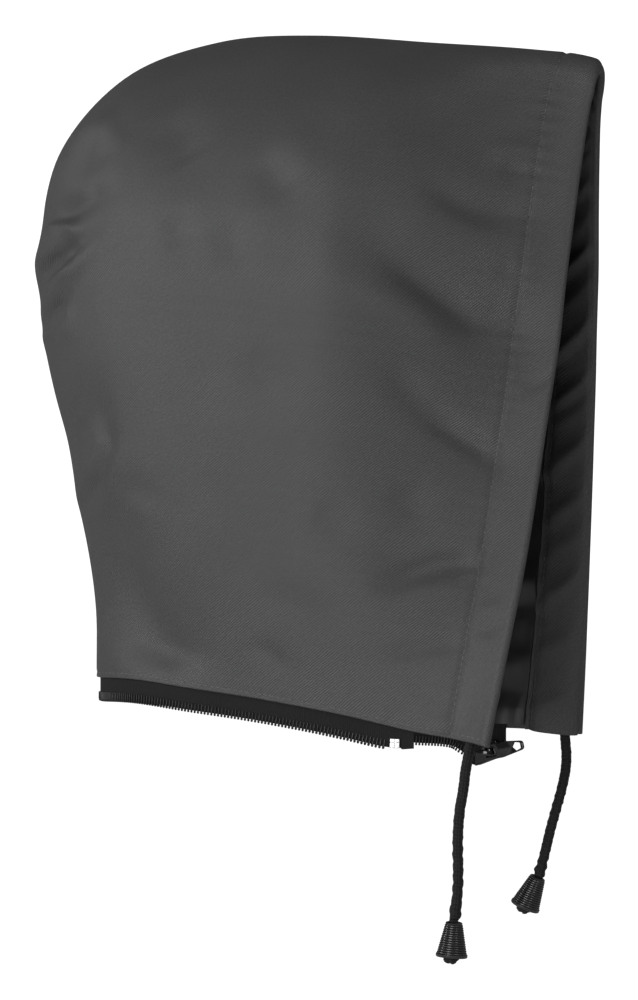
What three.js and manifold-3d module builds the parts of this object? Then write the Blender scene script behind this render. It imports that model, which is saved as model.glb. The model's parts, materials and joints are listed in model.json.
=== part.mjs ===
// Detachable hood: two woven panels with a drawcord casing, a satin lining,
// the hood's half of a coil zip round the neck, and a drawcord with bell ends.
//
// Millimetres, +Z up. The wearer faces -Y and the wearer's right is -X.
// The origin is where the crown of the head carries the lining.

import * as THREE from "three";
import { mergeVertices } from "three/addons/utils/BufferGeometryUtils.js";
import Module from "manifold-3d";

const wasm = await Module();
wasm.setup();

// Overall sizes
const HOOD_HEIGHT = 335.7; // front corner of the hem to the top of the crown
const HOOD_DEPTH = 281; // front of the face opening to the back of the head
const HEAD_WIDTH = 174; // over the ears
const FACE_WIDTH = 125.2; // across the face opening at the hem, between the stitch lines
const FACE_FLARE = 13.4; // how far each casing strip spreads outward at the hem
const ARCH_RISE = 10; // rounding of the face opening under the top seam
const FACE_BLEND = 105; // distance over which the face edge swells into the head
const LEFT_DROOP = 12.8; // how much lower the left neck hem hangs

// Cloth
const WALL = 1.2; // twill panel
const LINING = 1.0; // satin lining
const CLOTH_GAP = 0.3; // between neighbouring layers
const SEAM_GAP = 0.3; // between the two panels along the centre seam
const SHELL = WALL + CLOTH_GAP + LINING; // whole cloth thickness at the crown

// Drawcord casing along the face opening
const CASING = 22; // front edge to stitch line
const FACING_OVERLAP = 2; // facing beyond the stitch line
const EDGE_GAP = 2; // hollow of the casing at the fold
const SEWN_GAP = 0.4; // hollow of the casing at the stitch line
const PUFF = 5.2; // extra hollow that the drawcord fills at the hem
const PUFF_HEIGHT = 60; // height over which that extra hollow narrows
const PUFF_ABOVE = 0.3; // share of it that is left higher up
const PUFF_FULLNESS = 0.4; // lower is fuller near the edges of the casing
const CASING_CLOSE = 0.17; // share of the height, under the top seam, over which the casing closes
const FOLD_RADIUS = WALL + EDGE_GAP / 2; // outside of the fold at the front edge

// Neck hem and zip
const LINING_HEM = 2.5; // bare panel below the lining
const TAPE = 1.0; // zip tape thickness
const TAPE_RISE = 9; // tape sewn in above the hem
const TAPE_MARGIN = 1; // top of the tape to the next row of the cloth
const ZIP_DROP = 11.2; // hem edge to the tips of the coil
const COIL_HEIGHT = 4.2;
const COIL_THICKNESS = 2.4;
const ZIP_INSET_RIGHT = 38; // front edge to the right end of the tape
const ZIP_INSET_LEFT = 34; // front edge to the left end of the tape
const END_TAB = 12; // smooth end of the tape, with no coil
const STOP_LENGTH = 4.4;
const STOP_THICKNESS = 0.9;
const STOP_GAP = 1; // stop to the first tooth

// Slider and pull
const SLIDER_RUN = 20; // straight stretch of coil that carries the slider
const SLIDER_LENGTH = 15.5;
const SLIDER_SETBACK = 3.5; // left end of the tape to the front of the slider
const SLIDER_PLATE = 1.4;
const SLIDER_LIP = 1.0;
const SLIDER_WEB = 1.4; // wall between the channels for the two halves of the zip
const RUNNING_GAP = 0.35; // slider to coil and pull to slider
const BRIDGE_WIDTH = 3.3;
const BRIDGE_LENGTH = 9.4;
const BRIDGE_BAR = 1.2;
const BRIDGE_INSET = 2; // behind the slider's front end
const BRIDGE_SLOPE = 0.8; // lean of its legs
const BRIDGE_FILLET = 0.6; // corner under the front of the bridge
const BRIDGE_ROOT = 0.5; // bridge let into the plate
const SLIDER_CHAMFER = 1;
const PULL_THICKNESS = 1.4;
const PULL_LENGTH = 21.7; // from its hinge to its tip
const PULL_ROOT_WIDTH = 8;
const PULL_TIP_WIDTH = 4.4;
const PULL_ARM = 1.75; // side bars of the pull beside the bridge
const PULL_WINDOW = 5.6; // length of its window for the bridge
const PULL_HOLE = 2.5; // radius of the five-sided hole
const PULL_HOLE_SIDES = 5;
const PULL_HOLE_ASPECT = 0.9; // its width as a share of its length
const PULL_RIM = 1.6; // metal between the hole and the tip
const PULL_SHOULDER = 0.45; // share of the length where the taper starts
const PULL_CHAMFER = 0.6; // corners beside the bar
const PULL_TIP_CORNER = 1; // corners at the tip

// Drawcord ends
const CORD_DIAMETER = 5;
const CORD_SIDES = 10;
const CORD_STEP = 10; // length of one step of the cord's tube
const BELL_LENGTH = 16.5;
const BELL_TOP_RADIUS = 4.2;
const BELL_RIM_RADIUS = 7.4;
const BELL_WALL = 1.1;
const BELL_BORE_GAP = 0.4;
const BELL_COLLAR = 5; // depth of the bore under the top
const BELL_SHOULDER = 5; // height over which the bore widens to the hollow
const BELL_RIM_BAND = 1;
const BELL_EDGE = 0.6; // rounding of the top
const KNOT_RADIUS = 4.3;
const KNOT_LENGTH = 11;
const KNOT_DEPTH = 10; // top of the bell to the top of the knot

// Mesh steps
const BODY_COLUMNS = 19;
const BODY_ROWS = 22;
const FOLD_STEPS = 2;
const SEAM_SAMPLES = 120;
const BELL_SIDES = 14;
const KNOT_SIDES = 12;
const KNOT_RINGS = 6;
const MERGE_DISTANCE = 1e-4; // vertices closer than this are one

// Lengths in these tables are shares. forward and up run from the crown line and from the
// front corner of the hem, as shares of HOOD_DEPTH and HOOD_HEIGHT.

// Front edge of the face opening. half is a share of FACE_WIDTH / 2, flare of FACE_FLARE.
const FRONT_EDGE = [
  { at: 0.0, forward: 0.3843, up: 0.0, half: 1.0, flare: 1.0 },
  { at: 0.147, forward: 0.4082, up: 0.1376, half: 0.88, flare: 0.63 },
  { at: 0.285, forward: 0.4288, up: 0.2678, half: 0.74, flare: 0.41 },
  { at: 0.432, forward: 0.4459, up: 0.4057, half: 0.61, flare: 0.31 },
  { at: 0.58, forward: 0.4626, up: 0.5445, half: 0.489, flare: 0.15 },
  { at: 0.735, forward: 0.4762, up: 0.6899, half: 0.374, flare: 0.0 },
  { at: 0.873, forward: 0.4879, up: 0.8195, half: 0.23, flare: 0.0 },
  { at: 0.952, forward: 0.4968, up: 0.8937, half: 0.153, flare: 0.0 },
  { at: 1.0, forward: 0.5089, up: 0.9383, half: 0.128, flare: 0.0 },
];

// Centre seam, from the top of the face opening over the crown and down the back.
const CENTRE_SEAM = [
  { forward: 0.5089, up: 0.9383 },
  { forward: 0.4947, up: 0.9562 },
  { forward: 0.3922, up: 0.9708 },
  { forward: 0.2142, up: 0.9845 },
  { forward: 0.0, up: 1.0 },
  { forward: -0.1669, up: 0.9952 },
  { forward: -0.3335, up: 0.95 },
  { forward: -0.4552, up: 0.8427 },
  { forward: -0.4964, up: 0.6991 },
  { forward: -0.4829, up: 0.5716 },
  { forward: -0.4409, up: 0.4203 },
  { forward: -0.4096, up: 0.3006 },
  { forward: -0.3879, up: 0.1844 },
  { forward: -0.3858, up: 0.0825 },
];
const CROWN_CORNER = 0.46; // share of the seam that counts as the top of a panel

// Neck hem, front to back.
const NECK_HEM = [
  { forward: 0.3843, up: 0.0 },
  { forward: 0.2559, up: 0.0158 },
  { forward: 0.1278, up: 0.0393 },
  { forward: -0.0007, up: 0.0581 },
  { forward: -0.1288, up: 0.0724 },
  { forward: -0.2573, up: 0.084 },
  { forward: -0.3858, up: 0.0825 },
];

// Half width of the head by height, as a share of HEAD_WIDTH / 2, and how far in from the
// centre seam the rounding reaches, as a share of HOOD_DEPTH.
const HEAD_SHAPE = [
  { up: 0.0, half: 0.828, rounding: 0.278 },
  { up: 0.1, half: 0.862, rounding: 0.29 },
  { up: 0.247, half: 0.931, rounding: 0.315 },
  { up: 0.426, half: 0.989, rounding: 0.34 },
  { up: 0.575, half: 1.0, rounding: 0.36 },
  { up: 0.724, half: 0.966, rounding: 0.374 },
  { up: 0.873, half: 0.897, rounding: 0.374 },
  { up: 1.0, half: 0.851, rounding: 0.374 },
];
const SEAM_ROUNDNESS = 2.15; // 2 is an ellipse, more is squarer
const SWELL_EASE = 0.75; // share of the swell from face to head that is eased, the rest is straight
const FLARE_CURVE = 1.3; // 1 is a straight flare, more bends it to the front edge

// Main folds and dents. Each runs from one place to another, rise above the cloth or a dent
// below it as a share of FOLD_RISE, half its breadth as a share of FOLD_BREADTH.
const FOLD_RISE = 5;
const FOLD_BREADTH = 15;
const SEAM_HOLD = 0.2; // share of a fold's rise that is left at the centre seam
const FOLDS = [
  { side: "both", forward: 0.2, up: 0.69, toForward: 0.39, toUp: 0.565, rise: -0.6, breadth: 1.0 },
  { side: "both", forward: 0.26, up: 0.75, toForward: 0.41, toUp: 0.66, rise: 0.3, breadth: 1.1 },
  { side: "both", forward: 0.29, up: 0.445, toForward: 0.37, toUp: 0.39, rise: -0.3, breadth: 0.6 },
  { side: "both", forward: 0.22, up: 0.26, toForward: 0.35, toUp: 0.225, rise: -0.2, breadth: 0.8 },
  { side: "both", forward: -0.49, up: 0.73, toForward: -0.4, toUp: 0.745, rise: -0.6, breadth: 0.75 },
  { side: "both", forward: -0.48, up: 0.665, toForward: -0.36, toUp: 0.71, rise: 0.4, breadth: 0.6 },
  { side: "both", forward: -0.48, up: 0.625, toForward: -0.41, toUp: 0.655, rise: -0.5, breadth: 0.5 },
  { side: "both", forward: -0.47, up: 0.575, toForward: -0.4, toUp: 0.62, rise: 0.4, breadth: 0.45 },
  { side: "both", forward: -0.44, up: 0.78, toForward: -0.3, toUp: 0.835, rise: -0.3, breadth: 0.8 },
  { side: "both", forward: -0.41, up: 0.42, toForward: -0.32, toUp: 0.47, rise: -0.5, breadth: 1.0 },
  { side: "both", forward: -0.38, up: 0.335, toForward: -0.29, toUp: 0.4, rise: 0.35, breadth: 0.6 },
  { side: "left", forward: 0.3, up: 0.84, toForward: 0.44, toUp: 0.9, rise: 0.4, breadth: 0.6 },
];

// How far the tips of the coil hang below the left hem, as shares of SLIDER_RUN behind the
// left end of the tape and of ZIP_DROP.
const LEFT_ZIP_DROP = [
  { run: 0.0, drop: 0.87 },
  { run: 1.0, drop: 1.32 },
  { run: 1.5, drop: 1.0 },
  { run: 2.6, drop: 1.0 },
];

// Routes of the free ends of the drawcord, from inside the casing to the knot.
const CORD_ROUTE_RIGHT = [
  [-62.3, -99.3, -322.4],
  [-63.2, -98.6, -327.4],
  [-64.1, -98.0, -332.5],
  [-64.8, -97.0, -338.5],
  [-65.0, -95.7, -345.5],
  [-65.0, -94.6, -354.1],
  [-65.0, -93.0, -363.0],
  [-65.0, -92.1, -372.5],
  [-65.0, -91.9, -382.0],
  [-65.0, -92.1, -391.0],
  [-65.0, -91.9, -400.0],
  [-65.0, -91.2, -407.0],
  [-65.0, -90.2, -415.1],
  [-65.0, -89.4, -424.8],
];
const CORD_ROUTE_LEFT = [
  [65.1, -103.9, -323.3],
  [66.1, -103.2, -328.3],
  [67.2, -102.6, -333.4],
  [68.2, -102.6, -338.5],
  [68.9, -102.8, -344.0],
  [69.0, -102.3, -351.4],
  [69.0, -100.2, -361.1],
  [69.0, -97.4, -370.8],
  [69.0, -94.6, -380.6],
  [69.0, -92.2, -390.3],
  [69.0, -90.0, -398.5],
  [69.0, -88.3, -403.5],
  [69.0, -84.3, -412.3],
];

// Small helpers

const RIGHT = -1;
const LEFT = 1;

function ease(x) {
  const c = Math.min(Math.max(x, 0), 1);
  return c * c * (3 - 2 * c);
}

// Smooth value of one column of a table at a place given in another column.
function lookUp(rows, key, column, at) {
  const last = rows.length - 1;
  const x = Math.min(Math.max(at, rows[0][key]), rows[last][key]);
  let i = 0;
  while (i < last - 1 && x > rows[i + 1][key]) i += 1;
  const slope = (k) => {
    const a = rows[Math.max(k - 1, 0)];
    const b = rows[Math.min(k + 1, last)];
    return (b[column] - a[column]) / (b[key] - a[key]);
  };
  const step = rows[i + 1][key] - rows[i][key];
  const u = (x - rows[i][key]) / step;
  return (
    (2 * u ** 3 - 3 * u ** 2 + 1) * rows[i][column] +
    (u ** 3 - 2 * u ** 2 + u) * step * slope(i) +
    (3 * u ** 2 - 2 * u ** 3) * rows[i + 1][column] +
    (u ** 3 - u ** 2) * step * slope(i + 1)
  );
}

// Gives the rows of an outline their place along it, from 0 to 1.
function measured(rows) {
  const lengths = [0];
  for (let i = 1; i < rows.length; i += 1) {
    const forward = (rows[i].forward - rows[i - 1].forward) * HOOD_DEPTH;
    const up = (rows[i].up - rows[i - 1].up) * HOOD_HEIGHT;
    lengths.push(lengths[i - 1] + Math.hypot(forward, up));
  }
  return rows.map((row, i) => ({ ...row, at: lengths[i] / lengths[rows.length - 1] }));
}

const SEAM = measured(CENTRE_SEAM);
const HEM = measured(NECK_HEM);

// Point of an outline in the centre plane: forward and up, in millimetres.
function outline(rows, at) {
  return new THREE.Vector2(
    lookUp(rows, "at", "forward", at) * HOOD_DEPTH,
    lookUp(rows, "at", "up", at) * HOOD_HEIGHT,
  );
}

const SEAM_LINE = [];
for (let i = 0; i <= SEAM_SAMPLES; i += 1) SEAM_LINE.push(outline(SEAM, i / SEAM_SAMPLES));

function distanceToSeam(point) {
  let nearest = Infinity;
  for (let i = 0; i < SEAM_SAMPLES; i += 1) {
    const a = SEAM_LINE[i];
    const run = SEAM_LINE[i + 1].clone().sub(a);
    const along = point.clone().sub(a).dot(run) / run.lengthSq();
    const foot = a.clone().addScaledVector(run, Math.min(Math.max(along, 0), 1));
    nearest = Math.min(nearest, foot.distanceTo(point));
  }
  return nearest;
}

// The hood's outer surface. across runs from the front edge (0) to the back seam (1), and
// rise from the neck hem (0) to the top seam (1).

const FRONT_HEM = outline(FRONT_EDGE, 0);
const FRONT_TOP = outline(FRONT_EDGE, 1);
const BACK_HEM = outline(SEAM, 1);
const BACK_TOP = outline(SEAM, CROWN_CORNER);

// Place in the centre plane, blended from the four edges of a panel.
function sidePlace(across, rise) {
  const place = outline(FRONT_EDGE, rise).multiplyScalar(1 - across);
  place.addScaledVector(outline(SEAM, 1 - rise * (1 - CROWN_CORNER)), across);
  place.addScaledVector(outline(HEM, across), 1 - rise);
  place.addScaledVector(outline(SEAM, across * CROWN_CORNER), rise);
  place.addScaledVector(FRONT_HEM, -(1 - across) * (1 - rise));
  place.addScaledVector(FRONT_TOP, -(1 - across) * rise);
  place.addScaledVector(BACK_HEM, -across * (1 - rise));
  place.addScaledVector(BACK_TOP, -across * rise);
  return place;
}

function foldHeight(place, side) {
  let height = 0;
  for (const fold of FOLDS) {
    if (fold.side === "left" && side === RIGHT) continue;
    const start = new THREE.Vector2(fold.forward * HOOD_DEPTH, fold.up * HOOD_HEIGHT);
    const end = new THREE.Vector2(fold.toForward * HOOD_DEPTH, fold.toUp * HOOD_HEIGHT);
    const run = end.clone().sub(start);
    const along = place.clone().sub(start).dot(run) / run.lengthSq();
    const foot = start.clone().addScaledVector(run, Math.min(Math.max(along, 0), 1));
    const off = foot.distanceTo(place) / (fold.breadth * FOLD_BREADTH);
    height += fold.rise * FOLD_RISE * Math.exp(-(off ** 2));
  }
  return height * (SEAM_HOLD + (1 - SEAM_HOLD) * ease(distanceToSeam(place) / FOLD_BREADTH));
}

// Smooth surface before its folds.
function plainSurface(across, rise, side) {
  const place = sidePlace(across, rise);
  const behind = place.distanceTo(outline(FRONT_EDGE, rise));
  const under = (1 - rise) * FRONT_HEM.distanceTo(FRONT_TOP);
  const arch = Math.sqrt(1 - (1 - Math.min(under / ARCH_RISE, 1)) ** 2);
  const face = (lookUp(FRONT_EDGE, "at", "half", rise) * FACE_WIDTH * arch) / 2;
  const flare = lookUp(FRONT_EDGE, "at", "flare", rise) * FACE_FLARE;
  const up = place.y / HOOD_HEIGHT;
  const reach = lookUp(HEAD_SHAPE, "up", "rounding", up) * HOOD_DEPTH;
  const inside = 1 - Math.min(distanceToSeam(place) / reach, 1);
  const rounded = (1 - inside ** SEAM_ROUNDNESS) ** (1 / SEAM_ROUNDNESS);
  const head = (lookUp(HEAD_SHAPE, "up", "half", up) * HEAD_WIDTH * rounded) / 2;
  const back = behind / FACE_BLEND;
  const swell = SWELL_EASE * ease(back) + (1 - SWELL_EASE) * Math.min(back, 1);
  const spread = flare * Math.max(1 - behind / CASING, 0) ** FLARE_CURVE;
  const half = (1 - swell) * face + swell * head + spread;
  const droop = side === LEFT ? LEFT_DROOP * Math.sin(Math.PI * across) ** 2 * (1 - rise) ** 2 : 0;
  return new THREE.Vector3(
    side * Math.max(half, SEAM_GAP / 2),
    -place.x,
    place.y - HOOD_HEIGHT - droop + SHELL,
  );
}

const PROBE = 1e-3; // step for measuring the slope of the surface

// On the centre seam the surface stands square to the centre plane.
function seamNormal(across, rise) {
  const at = rise >= 1 ? across * CROWN_CORNER : 1 - rise * (1 - CROWN_CORNER);
  const before = outline(SEAM, Math.max(at - PROBE, 0));
  const along = outline(SEAM, Math.min(at + PROBE, 1)).sub(before);
  return new THREE.Vector3(0, along.y, along.x).multiplyScalar(-1).normalize();
}

function outwardNormal(surface, across, rise, side) {
  if (across >= 1 || rise >= 1) return seamNormal(across, rise);
  const a = Math.max(across, PROBE);
  const r = Math.max(rise, PROBE);
  const alongAcross = surface(a + PROBE, r, side).sub(surface(a - PROBE, r, side));
  const alongRise = surface(a, r + PROBE, side).sub(surface(a, r - PROBE, side));
  return alongAcross.cross(alongRise).multiplyScalar(side).normalize();
}

function foldedSurface(across, rise, side) {
  const point = plainSurface(across, rise, side);
  const lift = foldHeight(sidePlace(across, rise), side);
  return point.addScaledVector(outwardNormal(plainSurface, across, rise, side), lift);
}

// Point a given depth below the outer surface, never across the centre seam.
function clothPoint(across, rise, side, depth) {
  const point = foldedSurface(across, rise, side);
  point.addScaledVector(outwardNormal(foldedSurface, across, rise, side), -depth);
  const onSeam = across >= 1 || rise >= 1;
  const off = onSeam ? SEAM_GAP / 2 : Math.max(point.x * side, SEAM_GAP / 2);
  return point.setX(side * off);
}

const PANEL_HEIGHT = FRONT_HEM.distanceTo(FRONT_TOP);

function panelLength(rise) {
  return outline(FRONT_EDGE, rise).distanceTo(outline(SEAM, 1 - rise * (1 - CROWN_CORNER)));
}

function riseOf(distance) {
  return distance / PANEL_HEIGHT;
}

// Rows of the cloth from the hem up, closer together near the top seam.
const ROW_CROWDING = 1.7;
const CLOTH_ROWS = [0, riseOf(TAPE_RISE + TAPE_MARGIN)];
for (let i = 1; i <= BODY_ROWS; i += 1) {
  const share = 1 - (1 - i / BODY_ROWS) ** ROW_CROWDING;
  CLOTH_ROWS.push(CLOTH_ROWS[1] + (1 - CLOTH_ROWS[1]) * share);
}

const FACING_END = CASING + FACING_OVERLAP;
const LINING_FRONT = FACING_END + CLOTH_GAP;
const COLUMN_CROWDING = 1.6;

// Columns of the cloth behind the casing, as distances behind the front edge, the last ones
// as shares of the way to the back seam. The ends of the zip have columns of their own.
function bodyColumns(side) {
  const inset = side === LEFT ? ZIP_INSET_LEFT : ZIP_INSET_RIGHT;
  const second = side === LEFT ? SLIDER_RUN : END_TAB;
  const columns = [{ behind: LINING_FRONT }, { behind: inset }, { behind: inset + second }];
  const rest = BODY_COLUMNS - columns.length;
  for (let i = 1; i <= rest; i += 1) {
    const share = 1 - (1 - i / rest) ** COLUMN_CROWDING;
    columns.push({ behind: inset + second, share });
  }
  return columns;
}

function acrossOf(column, rise) {
  const start = column.behind / panelLength(rise);
  return start + (1 - start) * (column.share ?? 0);
}

// Hollow of the casing at a distance behind the front edge.
function casingHollow(behind, rise) {
  const share = Math.min(Math.max((behind - FOLD_RADIUS) / (CASING - FOLD_RADIUS), 0), 1);
  const above = ease((rise * PANEL_HEIGHT) / PUFF_HEIGHT);
  const puff = PUFF * (1 - above * (1 - PUFF_ABOVE)) * ease((1 - rise) / CASING_CLOSE);
  const flat = EDGE_GAP + (SEWN_GAP - EDGE_GAP) * share;
  return flat + puff * Math.max(Math.sin(Math.PI * share), 0) ** PUFF_FULLNESS;
}

// Closed bodies

function bodyGeometry(points, triangles) {
  let volume = 0;
  for (const [a, b, c] of triangles) {
    volume += points[a].dot(points[b].clone().cross(points[c]));
  }
  const facing = volume < 0 ? triangles.map(([a, b, c]) => [a, c, b]) : triangles;
  const geometry = new THREE.BufferGeometry();
  const positions = points.flatMap((point) => [point.x, point.y, point.z]);
  geometry.setAttribute("position", new THREE.Float32BufferAttribute(positions, 3));
  geometry.setIndex(facing.flat());
  geometry.computeVertexNormals();
  return geometry;
}

// A sheet with thickness: two skins, each given as rows of points, and the four rims.
function sheetGeometry(skin, back) {
  const rows = skin.length;
  const columns = skin[0].length;
  const points = [...skin.flat(), ...back.flat()];
  const at = (row, column, layer) => layer * rows * columns + row * columns + column;
  const triangles = [];
  const quad = (a, b, c, d) => triangles.push([a, b, c], [a, c, d]);
  for (let r = 0; r + 1 < rows; r += 1) {
    for (let c = 0; c + 1 < columns; c += 1) {
      quad(at(r, c, 0), at(r, c + 1, 0), at(r + 1, c + 1, 0), at(r + 1, c, 0));
      quad(at(r, c, 1), at(r + 1, c, 1), at(r + 1, c + 1, 1), at(r, c + 1, 1));
    }
    quad(at(r, 0, 0), at(r + 1, 0, 0), at(r + 1, 0, 1), at(r, 0, 1));
    const end = columns - 1;
    quad(at(r, end, 0), at(r, end, 1), at(r + 1, end, 1), at(r + 1, end, 0));
  }
  for (let c = 0; c + 1 < columns; c += 1) {
    quad(at(0, c, 0), at(0, c, 1), at(0, c + 1, 1), at(0, c + 1, 0));
    const top = rows - 1;
    quad(at(top, c, 0), at(top, c + 1, 0), at(top, c + 1, 1), at(top, c, 1));
  }
  return bodyGeometry(points, triangles);
}

function solidOf(geometry) {
  const bare = geometry.clone();
  bare.deleteAttribute("normal");
  bare.deleteAttribute("uv");
  const merged = mergeVertices(bare, MERGE_DISTANCE);
  return new wasm.Manifold(
    new wasm.Mesh({
      numProp: 3,
      vertProperties: new Float32Array(merged.attributes.position.array),
      triVerts: new Uint32Array(merged.index.array),
    }),
  );
}

function geometryOf(solid) {
  const mesh = solid.getMesh();
  const geometry = new THREE.BufferGeometry();
  geometry.setAttribute("position", new THREE.BufferAttribute(mesh.vertProperties, 3));
  geometry.setIndex(new THREE.BufferAttribute(mesh.triVerts, 1));
  geometry.computeVertexNormals();
  return geometry;
}

// Materials

const TWILL = new THREE.MeshStandardMaterial({ color: 0x4a4a4a, roughness: 0.85, metalness: 0 });
const SATIN = new THREE.MeshStandardMaterial({ color: 0x141414, roughness: 0.45, metalness: 0 });
const WEBBING = new THREE.MeshStandardMaterial({ color: 0x1c1c1c, roughness: 0.9, metalness: 0 });
const NYLON = new THREE.MeshStandardMaterial({ color: 0x101010, roughness: 0.5, metalness: 0 });
const BRIGHT_METAL = new THREE.MeshStandardMaterial({ color: 0xd8d8d8, roughness: 0.3, metalness: 1 });
const BLACK_ENAMEL = new THREE.MeshStandardMaterial({ color: 0x0d0d0d, roughness: 0.3, metalness: 0.2 });
const CORD_YARN = new THREE.MeshStandardMaterial({ color: 0x161616, roughness: 0.9, metalness: 0 });
const BLACK_PLASTIC = new THREE.MeshStandardMaterial({ color: 0x0a0a0a, roughness: 0.35, metalness: 0 });

const hood = new THREE.Group();

function addPiece(name, geometry, material, parent = hood) {
  const mesh = new THREE.Mesh(geometry, material);
  mesh.name = name;
  parent.add(mesh);
  return mesh;
}

// Columns across the casing, as shares from the fold to the stitch line.
const FACING_COLUMNS = [1, 0.78, 0.5, 0.22, 0];
const STRIP_COLUMNS = [0, 0.25, 0.6, 1];

// Outer panel: the facing, the fold at the front edge, and the wall to the centre seam.
function panelGeometry(side) {
  const outer = [];
  const inner = [];
  for (const rise of CLOTH_ROWS) {
    const skin = [];
    const back = [];
    const add = (across, skinDepth, backDepth) => {
      skin.push(clothPoint(across, rise, side, skinDepth));
      back.push(clothPoint(across, rise, side, backDepth));
    };
    const length = panelLength(rise);
    for (const share of FACING_COLUMNS) {
      const behind = share === 1 ? FACING_END : FOLD_RADIUS + share * (CASING - FOLD_RADIUS);
      const hollow = casingHollow(behind, rise);
      add(behind / length, 2 * WALL + hollow, WALL + hollow);
    }
    for (let i = FOLD_STEPS; i >= 1; i -= 1) {
      const turn = (Math.PI * i) / (FOLD_STEPS + 1);
      const skinPlace = FOLD_RADIUS * (1 - Math.sin(turn));
      const backPlace = FOLD_RADIUS - (FOLD_RADIUS - WALL) * Math.sin(turn);
      skin.push(clothPoint(skinPlace / length, rise, side, FOLD_RADIUS * (1 - Math.cos(turn))));
      const backDepth = FOLD_RADIUS - (FOLD_RADIUS - WALL) * Math.cos(turn);
      back.push(clothPoint(backPlace / length, rise, side, backDepth));
    }
    for (const share of STRIP_COLUMNS) {
      add((FOLD_RADIUS + share * (CASING - FOLD_RADIUS)) / length, 0, WALL);
    }
    for (const column of bodyColumns(side)) add(acrossOf(column, rise), 0, WALL);
    outer.push(skin);
    inner.push(back);
  }
  return sheetGeometry(outer, inner);
}

// Lining: lies inside the panel, behind the facing, and over the zip tape at the hem.
function liningGeometry(side) {
  const outer = [];
  const inner = [];
  for (const row of CLOTH_ROWS) {
    const rise = row === 0 ? riseOf(LINING_HEM) : row;
    const overTape = rise <= riseOf(TAPE_RISE + TAPE_MARGIN) ? TAPE + CLOTH_GAP : 0;
    const depth = WALL + CLOTH_GAP + overTape;
    const columns = bodyColumns(side);
    outer.push(columns.map((column) => clothPoint(acrossOf(column, rise), rise, side, depth)));
    inner.push(columns.map((column) => clothPoint(acrossOf(column, rise), rise, side, depth + LINING)));
  }
  return sheetGeometry(outer, inner);
}

// Zip

const TAPE_DEPTH = WALL + CLOTH_GAP + TAPE / 2; // middle of the tape below the outer surface

// Stations of the zip from its right end round the back of the neck to its left end.
function zipStations() {
  const stations = [];
  for (const side of [RIGHT, LEFT]) {
    const columns = bodyColumns(side).slice(1);
    const ordered = side === RIGHT ? columns : columns.reverse().slice(1);
    const inset = side === LEFT ? ZIP_INSET_LEFT : ZIP_INSET_RIGHT;
    for (const column of ordered) {
      const across = acrossOf(column, 0);
      const run = (across * panelLength(0) - inset) / SLIDER_RUN;
      const hem = clothPoint(across, 0, side, TAPE_DEPTH);
      const top = clothPoint(across, riseOf(TAPE_RISE), side, TAPE_DEPTH);
      const outward = outwardNormal(foldedSurface, across, 0, side);
      if (across >= 1) {
        hem.x = 0;
        top.x = 0;
        outward.set(0, 1, 0);
      }
      const share = side === LEFT ? lookUp(LEFT_ZIP_DROP, "run", "drop", run) : 1;
      stations.push({ side, run, hem, top, outward, drop: share * ZIP_DROP });
    }
  }
  return stations;
}
const ZIP = zipStations();

function below(station, drop) {
  return station.hem.clone().setZ(station.hem.z - drop);
}

function bandGeometry(stations, lineAt, thickness) {
  const layers = [1, -1].map((sign) =>
    lineAt.map((line) =>
      stations.map((station) => line(station).addScaledVector(station.outward, (sign * thickness) / 2)),
    ),
  );
  return sheetGeometry(layers[0], layers[1]);
}

function tapeEdge(station) {
  const smoothEnd = station.side === RIGHT && station.run * SLIDER_RUN < END_TAB / 2;
  return below(station, smoothEnd ? station.drop : station.drop - COIL_HEIGHT - CLOTH_GAP);
}

function addZip() {
  const tapeLines = [(station) => station.top.clone(), (station) => station.hem.clone(), tapeEdge];
  addPiece("zip_tape", bandGeometry(ZIP, tapeLines, TAPE), WEBBING);
  const coilStations = ZIP.slice(1);
  const coilTop = (station) => below(station, station.drop - COIL_HEIGHT);
  const coilTips = (station) => below(station, station.drop);
  addPiece("zip_coil", bandGeometry(coilStations, [coilTop, coilTips], COIL_THICKNESS), NYLON);
}

// Stop: a metal plate on the outer face of the tape where the coil ends.
function addTopStop() {
  const [end, start] = ZIP;
  const edge = below(start, start.drop).sub(below(end, end.drop));
  const along = edge.clone().normalize();
  const frame = new THREE.Group();
  const down = new THREE.Vector3(0, 0, -1).addScaledVector(along, along.z).normalize();
  const outward = along.clone().cross(down);
  if (outward.dot(start.outward) < 0) outward.negate();
  const across = outward.clone().cross(along);
  frame.quaternion.setFromRotationMatrix(new THREE.Matrix4().makeBasis(along, across, outward));
  frame.position.copy(below(start, start.drop - COIL_HEIGHT / 2));
  frame.position.addScaledVector(along, -(STOP_LENGTH / 2 + STOP_GAP));
  frame.position.addScaledVector(outward, TAPE / 2 + CLOTH_GAP + STOP_THICKNESS / 2);
  const plate = new THREE.BoxGeometry(STOP_LENGTH, COIL_HEIGHT, STOP_THICKNESS);
  addPiece("zip_top_stop", plate, BRIGHT_METAL, frame);
  hood.add(frame);
}

// Slider: its local X runs forward along the coil, Y up towards the hem and Z to the neck, with
// the tips of the coil on Y = 0.
const CHANNEL_HALF = COIL_THICKNESS / 2 + RUNNING_GAP;
const SLIDER_HALF = CHANNEL_HALF + SLIDER_PLATE;
const LIP_HALF = TAPE / 2 + RUNNING_GAP;
const LIP_Y = COIL_HEIGHT + RUNNING_GAP;
const BRIDGE_FRONT = SLIDER_LENGTH / 2 - BRIDGE_INSET;
const BAR_SWEEP = PULL_THICKNESS * Math.SQRT1_2; // half diagonal of the pull's square bar
const BAR_HEIGHT = BAR_SWEEP + RUNNING_GAP; // middle of the bar over the plate
const BRIDGE_HEIGHT = 2 * BAR_HEIGHT; // clear height under the bridge
const BAR_X = BRIDGE_FRONT - BRIDGE_LENGTH / 2; // the bar lies under the middle of the bridge

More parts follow.
